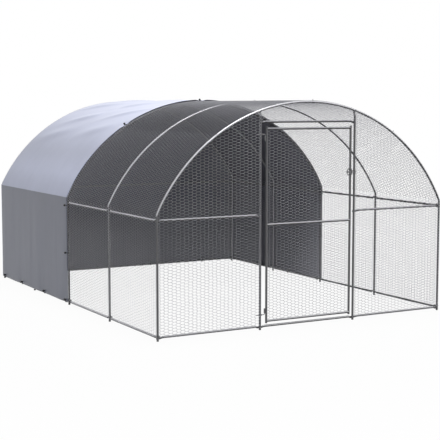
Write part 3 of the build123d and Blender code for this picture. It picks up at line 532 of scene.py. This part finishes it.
panels = {
    "standoff": 0.0128, "foot": 0.026, "overlap": 0.003, "doorPostX": 0.496, "latchEdge": 0.503, "headerZ": 1.817,
    "hingeStileX": -0.432, "latchStileX": 0.452, "doorInset": 0.007, "doorSetback": 0.0016,
    "doorFootZ": 0.075, "doorMiddleZ": 0.923, "doorTopZ": 1.757, "eaveZ": 1.010, "tieZ": 0.985,
    "jointAngle": 32.4, "jointSetback": 0.040, "archPoints": 49,
}
inset = netting["selvedge"] / 2
wallX = run["postX"] + panels["standoff"]
wallReach = run["endY"] + panels["overlap"]
doorY = -run["endY"] + run["tubeRadius"] + run["seat"] + panels["doorSetback"]
postEdge = panels["doorPostX"] + panels["overlap"]
transomEdge = panels["doorPostX"] - panels["overlap"]
middleX = (run["postX"] + panels["doorPostX"]) / 2
netRadius = hoopRadius + run["tubeRadius"] + run["seat"]
netLay = netting["wire"] * netting["twistedHalf"][0]
joint = math.radians(panels["jointAngle"]) + panels["jointSetback"] / hoopRadius
netKink = math.acos((run["kinkZ"] - hoopCentreZ) / netRadius)
seams = [-netKink, -joint, panels["jointSetback"] / hoopRadius, joint, netKink]  # the roof strips meet here


# a flat panel: u runs across, v runs up and w runs out, square to both
def flatPlace(origin, across):
    across = np.array(across, float)
    out = np.cross(across, zAxis)
    return lambda u, v, w: np.array(origin) + u[:, None] * across + v[:, None] * zAxis + w[:, None] * out


# a roof strip: u runs towards the door, v is the length along the arch and w the height above it, and the wires'
# middle lies half a twisted wire above the hoops
def roofPlace(u, v, w):
    angle, reach = v / netRadius, netRadius + netLay + w
    return np.stack([reach * np.sin(angle), -u, hoopCentreZ + reach * np.cos(angle)], -1)


# an outline with straight sides, each moved in by the same step
def rectangle(x0, x1, y0, y1, s=inset):
    return [(x0 + s, y0 + s), (x1 - s, y0 + s), (x1 - s, y1 - s), (x0 + s, y1 - s)]


# an outline under the arch: straight foot and sides, and a top that follows the hoop
def gable(x0, x1, z0):
    s = inset
    top = np.linspace(x1 - s, x0 + s, panels["archPoints"])
    return [(x0 + s, z0 + s), (x1 - s, z0 + s)] + list(zip(top, archHeight(top, hoopRadius - s)))


leftPlace = flatPlace((-wallX, 0, 0), (0, -1, 0))
rightPlace = flatPlace((wallX, 0, 0), (0, 1, 0))
frontPlace = flatPlace((0, -run["endY"] - panels["standoff"], 0), (1, 0, 0))
backPlace = flatPlace((0, run["endY"] + panels["standoff"], 0), (-1, 0, 0))
doorPlace = flatPlace((0, doorY, 0), (1, 0, 0))
wall = rectangle(-wallReach, wallReach, panels["foot"], run["kinkZ"], 0.0)
frontLeft = gable(-run["postX"], -postEdge, panels["foot"])
frontRight = gable(panels["latchEdge"], run["postX"], panels["foot"])
overDoor = gable(-transomEdge, transomEdge, panels["headerZ"])
backRight = gable(-run["postX"], 0.0, panels["foot"])
backLeft = gable(0.0, run["postX"], panels["foot"])
stileEdges = (panels["hingeStileX"] + panels["doorInset"], panels["latchStileX"] - panels["doorInset"])
door = rectangle(*stileEdges, panels["doorFootZ"], panels["doorTopZ"])
wallStart, crownStart = (0, panels["tieZ"]), (0, run["crownZ"])
leftStart, rightStart = (-middleX, panels["eaveZ"]), (middleX, panels["eaveZ"])
doorStart = ((panels["hingeStileX"] + panels["latchStileX"]) / 2, panels["doorMiddleZ"])
# piece, its node and body, outline, centre of a cell, place, whether it has a selvedge, finish
nets = [
    ("leftWallMesh", "left_wall_net", "frame", wall, wallStart, leftPlace, False, "wireZinc"),
    ("rightWallMesh", "right_wall_net", "frame", wall, wallStart, rightPlace, False, "wireZinc"),
]
# the roof strips take copies of the wire zinc with painted shade
strips = [
    ("leftLowRoofMesh", "roof_net_left_low", "slopeWireZincPaintedShade"),
    ("leftHighRoofMesh", "roof_net_left_high", "roofWireZincPaintedShade"),
    ("rightHighRoofMesh", "roof_net_right_high", "shadedWireZinc"),
    ("rightLowRoofMesh", "roof_net_right_low", "shadedWireZinc"),
]
for first, last, (label, node, finish) in zip(seams, seams[1:], strips):
    strip = rectangle(-wallReach, wallReach, first * netRadius, last * netRadius, 0.0)
    nets.append((label, node, "frame", strip, (0, 0), roofPlace, False, finish))
nets += [
    ("frontLeftMesh", "front_left_net", "frame", frontLeft, leftStart, frontPlace, True, "wireZinc"),
    ("frontRightMesh", "front_right_net", "frame", frontRight, rightStart, frontPlace, True, "doorWireZincPaintedShade"),
    ("overDoorMesh", "over_door_net", "frame", overDoor, crownStart, frontPlace, True, "doorWireZincPaintedShade"),
    ("backRightMesh", "back_net", "frame", backRight, crownStart, backPlace, True, "shadedWireZinc"),
    ("backLeftMesh", "back_net", "frame", backLeft, crownStart, backPlace, True, "shadedWireZinc"),
    ("doorMesh", "door_net", "door", door, doorStart, doorPlace, True, "doorWireZincPaintedShade"),
]
triangles = sum(makeNetting(*net) for net in nets)
print("netting woven:", triangles, "triangles")

cover = {
    "frontY": -0.006, "standoff": 0.0147, "thickness": 0.0012, "hemZ": 0.024, "baseRailZ": 0.032,
    "spacing": 0.022, "lineGap": 0.004, "holeHalf": 0.0055,  # grid lines, and half of an eyelet's hole
    "bandZ": 0.20, "upperRows": 84,  # level lines of the back panel up to here, then rows up to the arch
    "edgeInset": 0.042, "hemRise": 0.024,  # eyelets behind the front edge and above the base rail
    "edgeTieZ": [0.516, 0.985], "archTies": [-31.0, -0.5, 31.0], "hemTies": [0.060, 0.660, 1.350, 1.920],
    "backTies": [-1.060, -0.350, 0.350, 1.060],
    "unpunched": 0.999,  # about the share of the canopy's flat cut that its eyelets leave
    # how far the cloth stands off
    "slack": 0.0035, "wallSlack": 0.0022, "panelSlack": 0.004, "hemFlare": 0.006, "edgeLift": 0.012,
    # lengths over which that fades: at the kinks, down the walls, at the hoops, hem, front edge and panel's rim
    "roofFade": 0.25, "wallFade": 0.20, "hoopFade": 0.10, "hemFade": 0.35, "edgeFade": 0.20, "rimFade": 0.15,
    "tiePull": 0.10, "tieFlat": 0.02, "tieFade": 0.04,  # reach of a tie along the hem, and on the front edge
    # radians a metre along and across, with a bend for the roof and the panel and a start for the hem
    "roofWave": (5.3, 1.4, 1.7), "panelWave": (5.2, 0.8, 2.0), "wallWave": (6.6, 1.9), "hemWave": (9.0, 0.4),
    "hemSwing": (0.6, 0.4), "crownShare": (0.55, 0.45), "crownWidth": 0.75,
    # place along the run, place over the arch, slant, half width and depth of each soft swell
    "swells": [
        (0.42, -0.66, 0.42, 0.050, 0.0135), (0.70, -0.40, 0.38, 0.048, 0.0165), (0.55, -1.02, 0.30, 0.080, 0.0090),
        (1.28, -0.78, 0.36, 0.060, 0.0135), (1.52, -0.44, 0.42, 0.050, 0.0165), (1.50, -1.12, 0.28, 0.080, 0.0090),
        (0.48, -0.14, 0.22, 0.055, 0.0120), (1.42, -0.10, 0.24, 0.060, 0.0120), (0.60, 0.24, -0.26, 0.055, 0.0135),
        (0.40, 0.62, -0.40, 0.060, 0.0120), (0.68, 0.90, -0.34, 0.070, 0.0105), (1.30, 0.34, -0.38, 0.050, 0.0150),
        (1.55, 0.70, -0.42, 0.060, 0.0120), (1.40, 1.08, -0.30, 0.080, 0.0090),
    ],
    "swellReach": 0.34,
}
coverMiddle = cover["standoff"] + cover["thickness"] / 2
coverWallX = run["postX"] + coverMiddle
coverRadius = hoopRadius + coverMiddle
coverKinkZ = float(archHeight(coverWallX, coverRadius))
coverKink = math.asin(coverWallX / coverRadius)
coverBackY = run["endY"] + cover["standoff"] + cover["thickness"] / 2
wallRun = coverKinkZ - cover["hemZ"]
archRun = coverRadius * coverKink
sheetReach = wallRun + archRun
hemEyeletZ = cover["baseRailZ"] + cover["hemRise"]


# grid lines from the spacing, with a pair set apart by an eyelet's hole wherever one is punched, and fixed lines in
# place of those too near them
def gridLines(low, high, holes, fixed=()):
    lines = np.linspace(low, high, round((high - low) / cover["spacing"]) + 1)
    holes = np.array(sorted(holes))
    near = np.abs(lines[:, None] - holes[None]).min(1) < cover["holeHalf"] + cover["lineGap"]
    near[0] = near[-1] = False
    lines = np.concatenate([lines[~near], holes - cover["holeHalf"], holes + cover["holeHalf"]])
    if fixed:
        far = np.abs(lines[:, None] - np.array(fixed)[None]).min(1) > cover["lineGap"]
        lines = np.concatenate([lines[far], fixed])
    return np.sort(lines)


# quads of a grid without the cells that hold an eyelet
def punchedQuads(shape, linesA, linesB, holes):
    quads = gridQuads(*shape).reshape(shape[0] - 1, shape[1] - 1, 4)
    keep = np.ones(quads.shape[:2], bool)
    for a, b in holes:
        keep[np.searchsorted(linesA, a) - 1, np.searchsorted(linesB, b) - 1] = False
    return quads[keep]


# place on the section at a signed run from the crown: the arch out to the kink, then straight down the wall
def sectionAt(s):
    side, along = np.sign(s), np.abs(s)
    angle = np.minimum(along, archRun) / coverRadius
    drop = np.maximum(along - archRun, 0)
    onWall = along > archRun
    x = np.where(onWall, coverWallX, coverRadius * np.sin(angle))
    z = np.where(onWall, coverKinkZ - drop, hoopCentreZ + coverRadius * np.cos(angle))
    nx, nz = np.where(onWall, 1.0, np.sin(angle)), np.where(onWall, 0.0, np.cos(angle))
    return side * x, z, side * nx, nz


# smooth bump of a width about a place
def bell(value, place, width):
    return np.exp(-(((value - place) / width) ** 2))


# a share kept between 0 and 1
def limited(share):
    return np.clip(share, 0, 1)


# a share kept between 0 and 1, with level ends
def eased(share):
    share = limited(share)
    return share * share * (3 - 2 * share)


# a sine about a level
def ripple(phase, level=0.5, swing=0.5):
    return level + swing * np.sin(phase)


# a wave along one way that bends with the place across it
def bentRipple(along, across, rate, bend, bendRate):
    return ripple(along * rate + bend * np.sin(across * bendRate))


# the strongest hold that ties at some places have on the hem
def tiePull(value, places):
    pull = np.zeros_like(value)
    for place in places:
        pull = np.maximum(pull, bell(value, place, cover["tiePull"]))
    return pull


# a cloth piece gets its thickness from Solidify, the inner side in the second finish
def finishCloth(piece, nodes):
    solid = piece.modifiers.new("clothThickness", "SOLIDIFY")
    solid.thickness = cover["thickness"]
    solid.offset = 0.0
    solid.use_even_offset = True
    solid.material_offset = 1
    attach(piece, "frame")
    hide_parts(nodes)


# the canopy's grid: runs over the section from hem to hem, and places along the run
edgeRuns = [archRun + coverKinkZ - z for z in cover["edgeTieZ"]]
archTieRuns = [math.radians(a) * coverRadius for a in cover["archTies"]]
edgeTieRuns = [side * r for side in (-1, 1) for r in edgeRuns] + archTieRuns
hemRun = archRun + coverKinkZ - hemEyeletZ
edgeTieY = cover["frontY"] + cover["edgeInset"]
kinkLines = [side * archRun + step for side in (-1, 1) for step in (-cover["lineGap"], 0, cover["lineGap"])]
lineS = gridLines(-sheetReach, sheetReach, edgeTieRuns + [-hemRun, hemRun], kinkLines)
lineY = gridLines(cover["frontY"], coverBackY, [edgeTieY] + cover["hemTies"])
gridS, gridY = np.meshgrid(lineS, lineY, indexing="ij")
sectionX, sectionZ, normalX, normalZ = sectionAt(gridS)
roofShare = eased((archRun - np.abs(gridS)) / cover["roofFade"])
wallShare = limited((np.abs(gridS) - archRun) / cover["wallFade"])
held = np.ones_like(gridS)
for hoopY in hoopYs[2:]:
    held = np.minimum(held, np.abs(gridY - hoopY) / cover["hoopFade"])
held = eased(held)

# folds over the arch: a slow slack, and soft slanting swells of uneven length and strength near the crown
lift = cover["slack"] * roofShare * held * bentRipple(gridY, gridS, *cover["roofWave"])
for y, s, slant, width, depth in cover["swells"]:
    ridge = depth * roofShare * held * bell(gridS + slant * (gridY - y), s, width)
    lift += ridge * bell(gridY, y, cover["swellReach"])
# slack between the ties: the hem and the front edge stand off a little where nothing pulls them in
pull = tiePull(gridY, cover["hemTies"])
hemShare = limited((np.abs(gridS) - (sheetReach - cover["hemFade"])) / cover["hemFade"])
edgeShare = limited(1 - (gridY - cover["frontY"]) / cover["edgeFade"]) ** 2
for s in edgeTieRuns:
    edgeShare = edgeShare * limited((np.abs(gridS - s) - cover["tieFlat"]) / cover["tieFade"])
crownLevel, crownSwing = cover["crownShare"]
hemRate, hemPhase = cover["hemWave"]
alongRate, downRate = cover["wallWave"]
lift += cover["edgeLift"] * edgeShare * roofShare * (crownLevel + crownSwing * bell(gridS, 0.0, cover["crownWidth"]))
lift += cover["hemFlare"] * hemShare**2 * (1 - pull) * ripple(gridY * hemRate + hemPhase, *cover["hemSwing"])
lift += cover["wallSlack"] * wallShare * held * (1 - hemShare) * ripple(gridY * alongRate + gridS * downRate)
canopyPoints = np.stack([sectionX + normalX * lift, gridY, sectionZ + normalZ * lift], -1)
canopyUv = np.stack([gridS, gridY], -1).reshape(-1, 2)
canopyHoles = [(s, edgeTieY) for s in edgeTieRuns] + [(s, y) for s in (-hemRun, hemRun) for y in cover["hemTies"]]
canopyQuads = punchedQuads(gridS.shape, lineS, lineY, canopyHoles)[:, ::-1]  # so that the faces look out
canopyFinish = [cloth["sheetOutside"], cloth["canopyInsidePaintedLight"]]
canopy = newPiece("coverCanopy", canopyPoints, canopyQuads, canopyFinish, canopyUv)
finishCloth(canopy, "cover_canopy")

# the back panel: level lines up to a band above the hem, then lines that spread up to the arch
lineX = gridLines(-coverWallX, coverWallX, cover["backTies"])
lineZ = gridLines(cover["hemZ"], cover["bandZ"], [hemEyeletZ])
upperShare = np.linspace(0, 1, cover["upperRows"])[1:]
gridLow = np.repeat(lineZ[None], len(lineX), 0)
topZ = archHeight(lineX, coverRadius)[:, None]
panelZ = np.concatenate([gridLow, cover["bandZ"] + (topZ - cover["bandZ"]) * upperShare[None]], 1)
panelX = np.repeat(lineX[:, None], panelZ.shape[1], 1)
panelHem = limited((cover["hemFade"] - (panelZ - cover["hemZ"])) / cover["hemFade"])
sideShare = limited((coverWallX - np.abs(panelX)) / cover["rimFade"])
panelEdge = sideShare * limited((topZ - panelZ) / cover["rimFade"])
panelLift = cover["hemFlare"] * panelHem**2 * (1 - tiePull(panelX, cover["backTies"])) * panelEdge
panelLift += cover["panelSlack"] * panelEdge * (1 - panelHem) * bentRipple(panelX, panelZ, *cover["panelWave"])
panelPoints = np.stack([panelX, coverBackY + panelLift, panelZ], -1)
panelQuads = punchedQuads(panelZ.shape, lineX, lineZ, [(x, hemEyeletZ) for x in cover["backTies"]])
panelUv = np.stack([panelX, panelZ], -1).reshape(-1, 2)
panelFinish = [cloth["sheetOutside"], cloth["panelInside"]]
backPanel = newPiece("coverBackPanel", panelPoints, panelQuads, panelFinish, panelUv)
finishCloth(backPanel, "cover_back_panel")
print("cover cut:", len(canopyQuads) + len(panelQuads), "quads")

tie = {
    "cord": 0.0050, "corner": 0.006, "cornerPoints": 7, "sides": 8,
    "ball": 0.0220, "neck": 0.0085, "ballArc": (math.pi * 0.985, 0.02), "ballRings": 26, "ballSides": 20,
    "groove": 0.025, "grooveWidth": 0.06,  # round the ball's middle, in radii
    # the collar where the cord goes in: how far it stands out and reaches in, its opening and its taper
    "collarOut": 0.0006, "collarIn": 0.0012, "collarHole": 0.0004, "collarTaper": 0.8,
    "ringSides": 24,
    "ring": [  # height and radius round the section of an eyelet
        (-0.0011, 0.0046), (-0.0016, 0.0056), (-0.0014, 0.0078), (-0.0006, 0.0088),
        (0.0006, 0.0088), (0.0014, 0.0078), (0.0016, 0.0056), (0.0011, 0.0046),
    ],
}

# every tie stands on a tube's axis: origin, the way out of the sheet, the way to its eyelet and the length to it
tieFrames = []
edgeReach = edgeTieY - hoopYs[2]
for side in (-1, 1):
    for z in cover["edgeTieZ"]:
        tieFrames.append(((side * run["postX"], hoopYs[2], z), (side, 0, 0), (0, 1, 0), edgeReach))
for a in cover["archTies"]:
    turn = math.radians(a)
    origin = (hoopRadius * math.sin(turn), hoopYs[2], hoopCentreZ + hoopRadius * math.cos(turn))
    tieFrames.append((origin, (math.sin(turn), 0, math.cos(turn)), (0, 1, 0), edgeReach))
for side in (-1, 1):
    for y in cover["hemTies"]:
        tieFrames.append(((side * run["postX"], y, cover["baseRailZ"]), (side, 0, 0), (0, 0, 1), cover["hemRise"]))
for x in cover["backTies"]:
    tieFrames.append(((x, run["endY"], cover["baseRailZ"]), (0, 1, 0), (0, 0, 1), cover["hemRise"]))


# a closed loop with rounded corners: each corner is a quarter arc of the radius
def roundedLoop(x0, x1, y0, y1, radius, perCorner):
    left, right, low, high = x0 + radius, x1 - radius, y0 + radius, y1 - radius
    centres = np.array([(right, high), (left, high), (left, low), (right, low)])
    turn = np.linspace(0, math.pi / 2, perCorner)
    angle = turn[None] + (np.arange(4) * math.pi / 2)[:, None]
    arcs = centres[:, None] + radius * np.stack([np.cos(angle), np.sin(angle)], -1)
    return arcs.reshape(-1, 2)


# a tube carried round a closed flat loop: rings across the loop's direction
def loopTube(loop, radius, sides):
    ahead = pathSteps(loop)
    normal = np.stack([ahead[:, 1], -ahead[:, 0]], -1)
    angle = roundAngles(sides)
    flat = loop[:, None] + radius * np.cos(angle)[None, :, None] * normal[:, None]
    depth = np.broadcast_to(radius * np.sin(angle)[None], flat.shape[:2])
    points = np.concatenate([flat, depth[..., None]], -1).reshape(-1, 3)
    return points, gridQuads(len(loop), sides, True, True)[:, ::-1]


# a turned profile: height along the axis x and radius, spun about it
def turned(profile, sides):
    angle = roundAngles(sides)
    height, radius = np.array(profile).T
    points = np.stack([
        np.broadcast_to(height[:, None], (len(height), sides)),
        radius[:, None] * np.cos(angle)[None],
        radius[:, None] * np.sin(angle)[None],
    ], -1)
    return points.reshape(-1, 3), gridQuads(len(height), sides, wrapColumns=True)


# the ball: a sphere with a short collar where the cord goes in and a fine groove round its middle
def ballProfile():
    radius, neck = tie["ball"] / 2, tie["neck"] / 2
    angle = np.linspace(*tie["ballArc"], tie["ballRings"])
    height = radius * np.cos(angle)
    width = radius * np.sin(angle) * (1 - tie["groove"] * bell(height, 0.0, radius * tie["grooveWidth"]))
    end = -radius - tie["collarOut"]
    collar = [(end, tie["collarHole"]), (end, neck * tie["collarTaper"]), (-radius + tie["collarIn"], neck)]
    return collar + [(h, w) for h, w in zip(height, width) if w > neck or h > 0]


cordRadius, ballRadius = tie["cord"] / 2, tie["ball"] / 2
tubeOff = run["tubeRadius"] + run["seat"] + cordRadius
sheetOff = cover["standoff"] + cover["thickness"] + run["seat"]
ballPoints, ballQuads = turned(ballProfile(), tie["ballSides"])
ringPoints, ringQuads = turned(tie["ring"] + tie["ring"][:1], tie["ringSides"])
loopSet, ballSet, ringSet = [], [], []
for origin, out, way, reach in tieFrames:
    out, way = np.array(out, float), np.array(way, float)
    axes = np.stack([out, way, np.cross(out, way)])
    path = roundedLoop(-tubeOff, sheetOff + cordRadius, -tubeOff, reach, tie["corner"], tie["cornerPoints"])
    loopPoints, loopQuads = loopTube(path, cordRadius, tie["sides"])
    ballAt = np.array([sheetOff + ballRadius, reach - ballRadius, 0])
    ringAt = np.array([coverMiddle, reach, 0])
    loopSet.append(np.array(origin) + loopPoints @ axes)
    ballSet.append(np.array(origin) + (ballPoints + ballAt) @ axes)
    ringSet.append(np.array(origin) + (ringPoints + ringAt) @ axes)


# one piece of all the equal patches that the ties have of a kind
def newTrim(name, patches, quads, material):
    points = np.concatenate(patches)
    piece = newPiece(name, points, manyQuads(quads, len(patches[0]), len(patches)), [material])
    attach(piece, "frame")
    return piece


loops = newTrim("tieLoops", loopSet, loopQuads, elasticCord)
balls = newTrim("tieBalls", ballSet, ballQuads, tieBall)
newTrim("coverEyelets", ringSet, ringQuads, zinc["eyeletZinc"])
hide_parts("cover_ties")
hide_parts("cover_ties")
print("ties set:", len(tieFrames))

studio = {
    "cameraAt": (-5.509, -10.274, 1.955), "yaw": 0.5081, "pitch": -0.1016, "focalPixels": 1121.3, "imagePixels": 440,
    "sensor": 36.0, "farthest": 200.0,
    "keyAt": (-0.5, -1.6, 8.5), "keyAim": (0.0, 0.2, 0.6), "keySize": 3.5, "keyStrength": 530.0,
    "worldTint": (0.95, 0.96, 1.0, 1), "worldLight": 0.16, "white": (1, 1, 1, 1),
    "floorSize": 60.0, "floorZ": -0.0005, "floorRoughness": 0.9, "floorTint": 0.85, "floorBounce": 0.32,
    "traceAt": (2.2, 7.0), "traceWhite": (0.96, 1.0),  # metres from the middle, and how far white hides the shadow
}


# an object at a place, looking along a direction
def addAimed(name, data, place, direction):
    made = bpy.data.objects.new(name, data)
    bpy.context.scene.collection.objects.link(made)
    made.location = place
    made.rotation_mode = "QUATERNION"
    made.rotation_quaternion = direction.to_track_quat("-Z", "Y")
    return made


# 1 where the camera looks at it straight, in a reflection or through glass: the largest of the three rays' marks
def addSeen(tree):
    seen = addNode(tree, "ShaderNodeLightPath")
    either = addNode(tree, "ShaderNodeMath", operation="MAXIMUM")
    shown = addNode(tree, "ShaderNodeMath", operation="MAXIMUM")
    join(
        tree,
        (seen, "Is Camera Ray", either, 0), (seen, "Is Glossy Ray", either, 1), (either, 0, shown, 0),
        (seen, "Is Transmission Ray", shown, 1),
    )
    return shown


cameraData = bpy.data.cameras.new("camera")
cameraData.sensor_width = studio["sensor"]
cameraData.lens = studio["sensor"] * studio["focalPixels"] / studio["imagePixels"]
cameraData.clip_end = studio["farthest"]
level = math.cos(studio["pitch"])
view = Vector((math.sin(studio["yaw"]) * level, math.cos(studio["yaw"]) * level, math.sin(studio["pitch"])))
bpy.context.scene.camera = addAimed("camera", cameraData, studio["cameraAt"], view)
keyData = bpy.data.lights.new("softKey", "AREA")
keyData.shape = "DISK"
keyData.size = studio["keySize"]
keyData.energy = studio["keyStrength"]
addAimed("softKey", keyData, studio["keyAt"], Vector(studio["keyAim"]) - Vector(studio["keyAt"]))

# the surroundings: plain soft light for the object, plain white where the camera or a shiny surface sees them
world = bpy.data.worlds.new("studio")
world.use_nodes = True
bpy.context.scene.world = world
tree = world.node_tree
tree.nodes.clear()
shown = addSeen(tree)
soft = addNode(tree, "ShaderNodeBackground", {"Color": studio["worldTint"], "Strength": studio["worldLight"]})
white = addNode(tree, "ShaderNodeBackground", {"Color": studio["white"], "Strength": 1.0})
mixed = addNode(tree, "ShaderNodeMixShader")
sink = addNode(tree, "ShaderNodeOutputWorld")
join(tree, (shown, 0, mixed, "Fac"), (soft, 0, mixed, 1), (white, 0, mixed, 2), (mixed, 0, sink, "Surface"))

# the floor: a wide pale sheet, nearly white to the camera and in reflections, with a light trace of the shadow
half, floorZ = studio["floorSize"] / 2, studio["floorZ"]
floorPoints = np.array([(x * half, y * half, floorZ) for x, y in ((-1, -1), (1, -1), (1, 1), (-1, 1))])
floorPaint, tree, shader = newMaterial("floorPaint")
shader.inputs["Roughness"].default_value = studio["floorRoughness"]
shader.inputs["Specular IOR Level"].default_value = 0.0
shown = addSeen(tree)
tint = mapRange(tree, toRange=(studio["floorBounce"], studio["floorTint"]))
glow = addNode(tree, "ShaderNodeEmission", {"Color": studio["white"], "Strength": 1.0})
place = addNode(tree, "ShaderNodeTexCoord")
spread = addNode(tree, "ShaderNodeVectorMath", operation="LENGTH")
fade = mapRange(tree, studio["traceAt"], studio["traceWhite"])
whiteShare = addNode(tree, "ShaderNodeMath", operation="MULTIPLY")
mixed = addNode(tree, "ShaderNodeMixShader")
join(
    tree,
    (place, "Object", spread, 0), (spread, "Value", fade, "Value"), (shown, 0, tint, "Value"),
    (tint, "Result", shader, "Base Color"), (shown, 0, whiteShare, 0), (fade, "Result", whiteShare, 1),
    (whiteShare, 0, mixed, "Fac"), (shader, "BSDF", mixed, 1), (glow, 0, mixed, 2),
    (mixed, 0, tree.nodes["Material Output"], "Surface"),
)
floor = newPiece("floor", floorPoints, [(0, 1, 2, 3)], [floorPaint], smooth=False)

bpy.context.scene.view_settings.view_transform = "Standard"
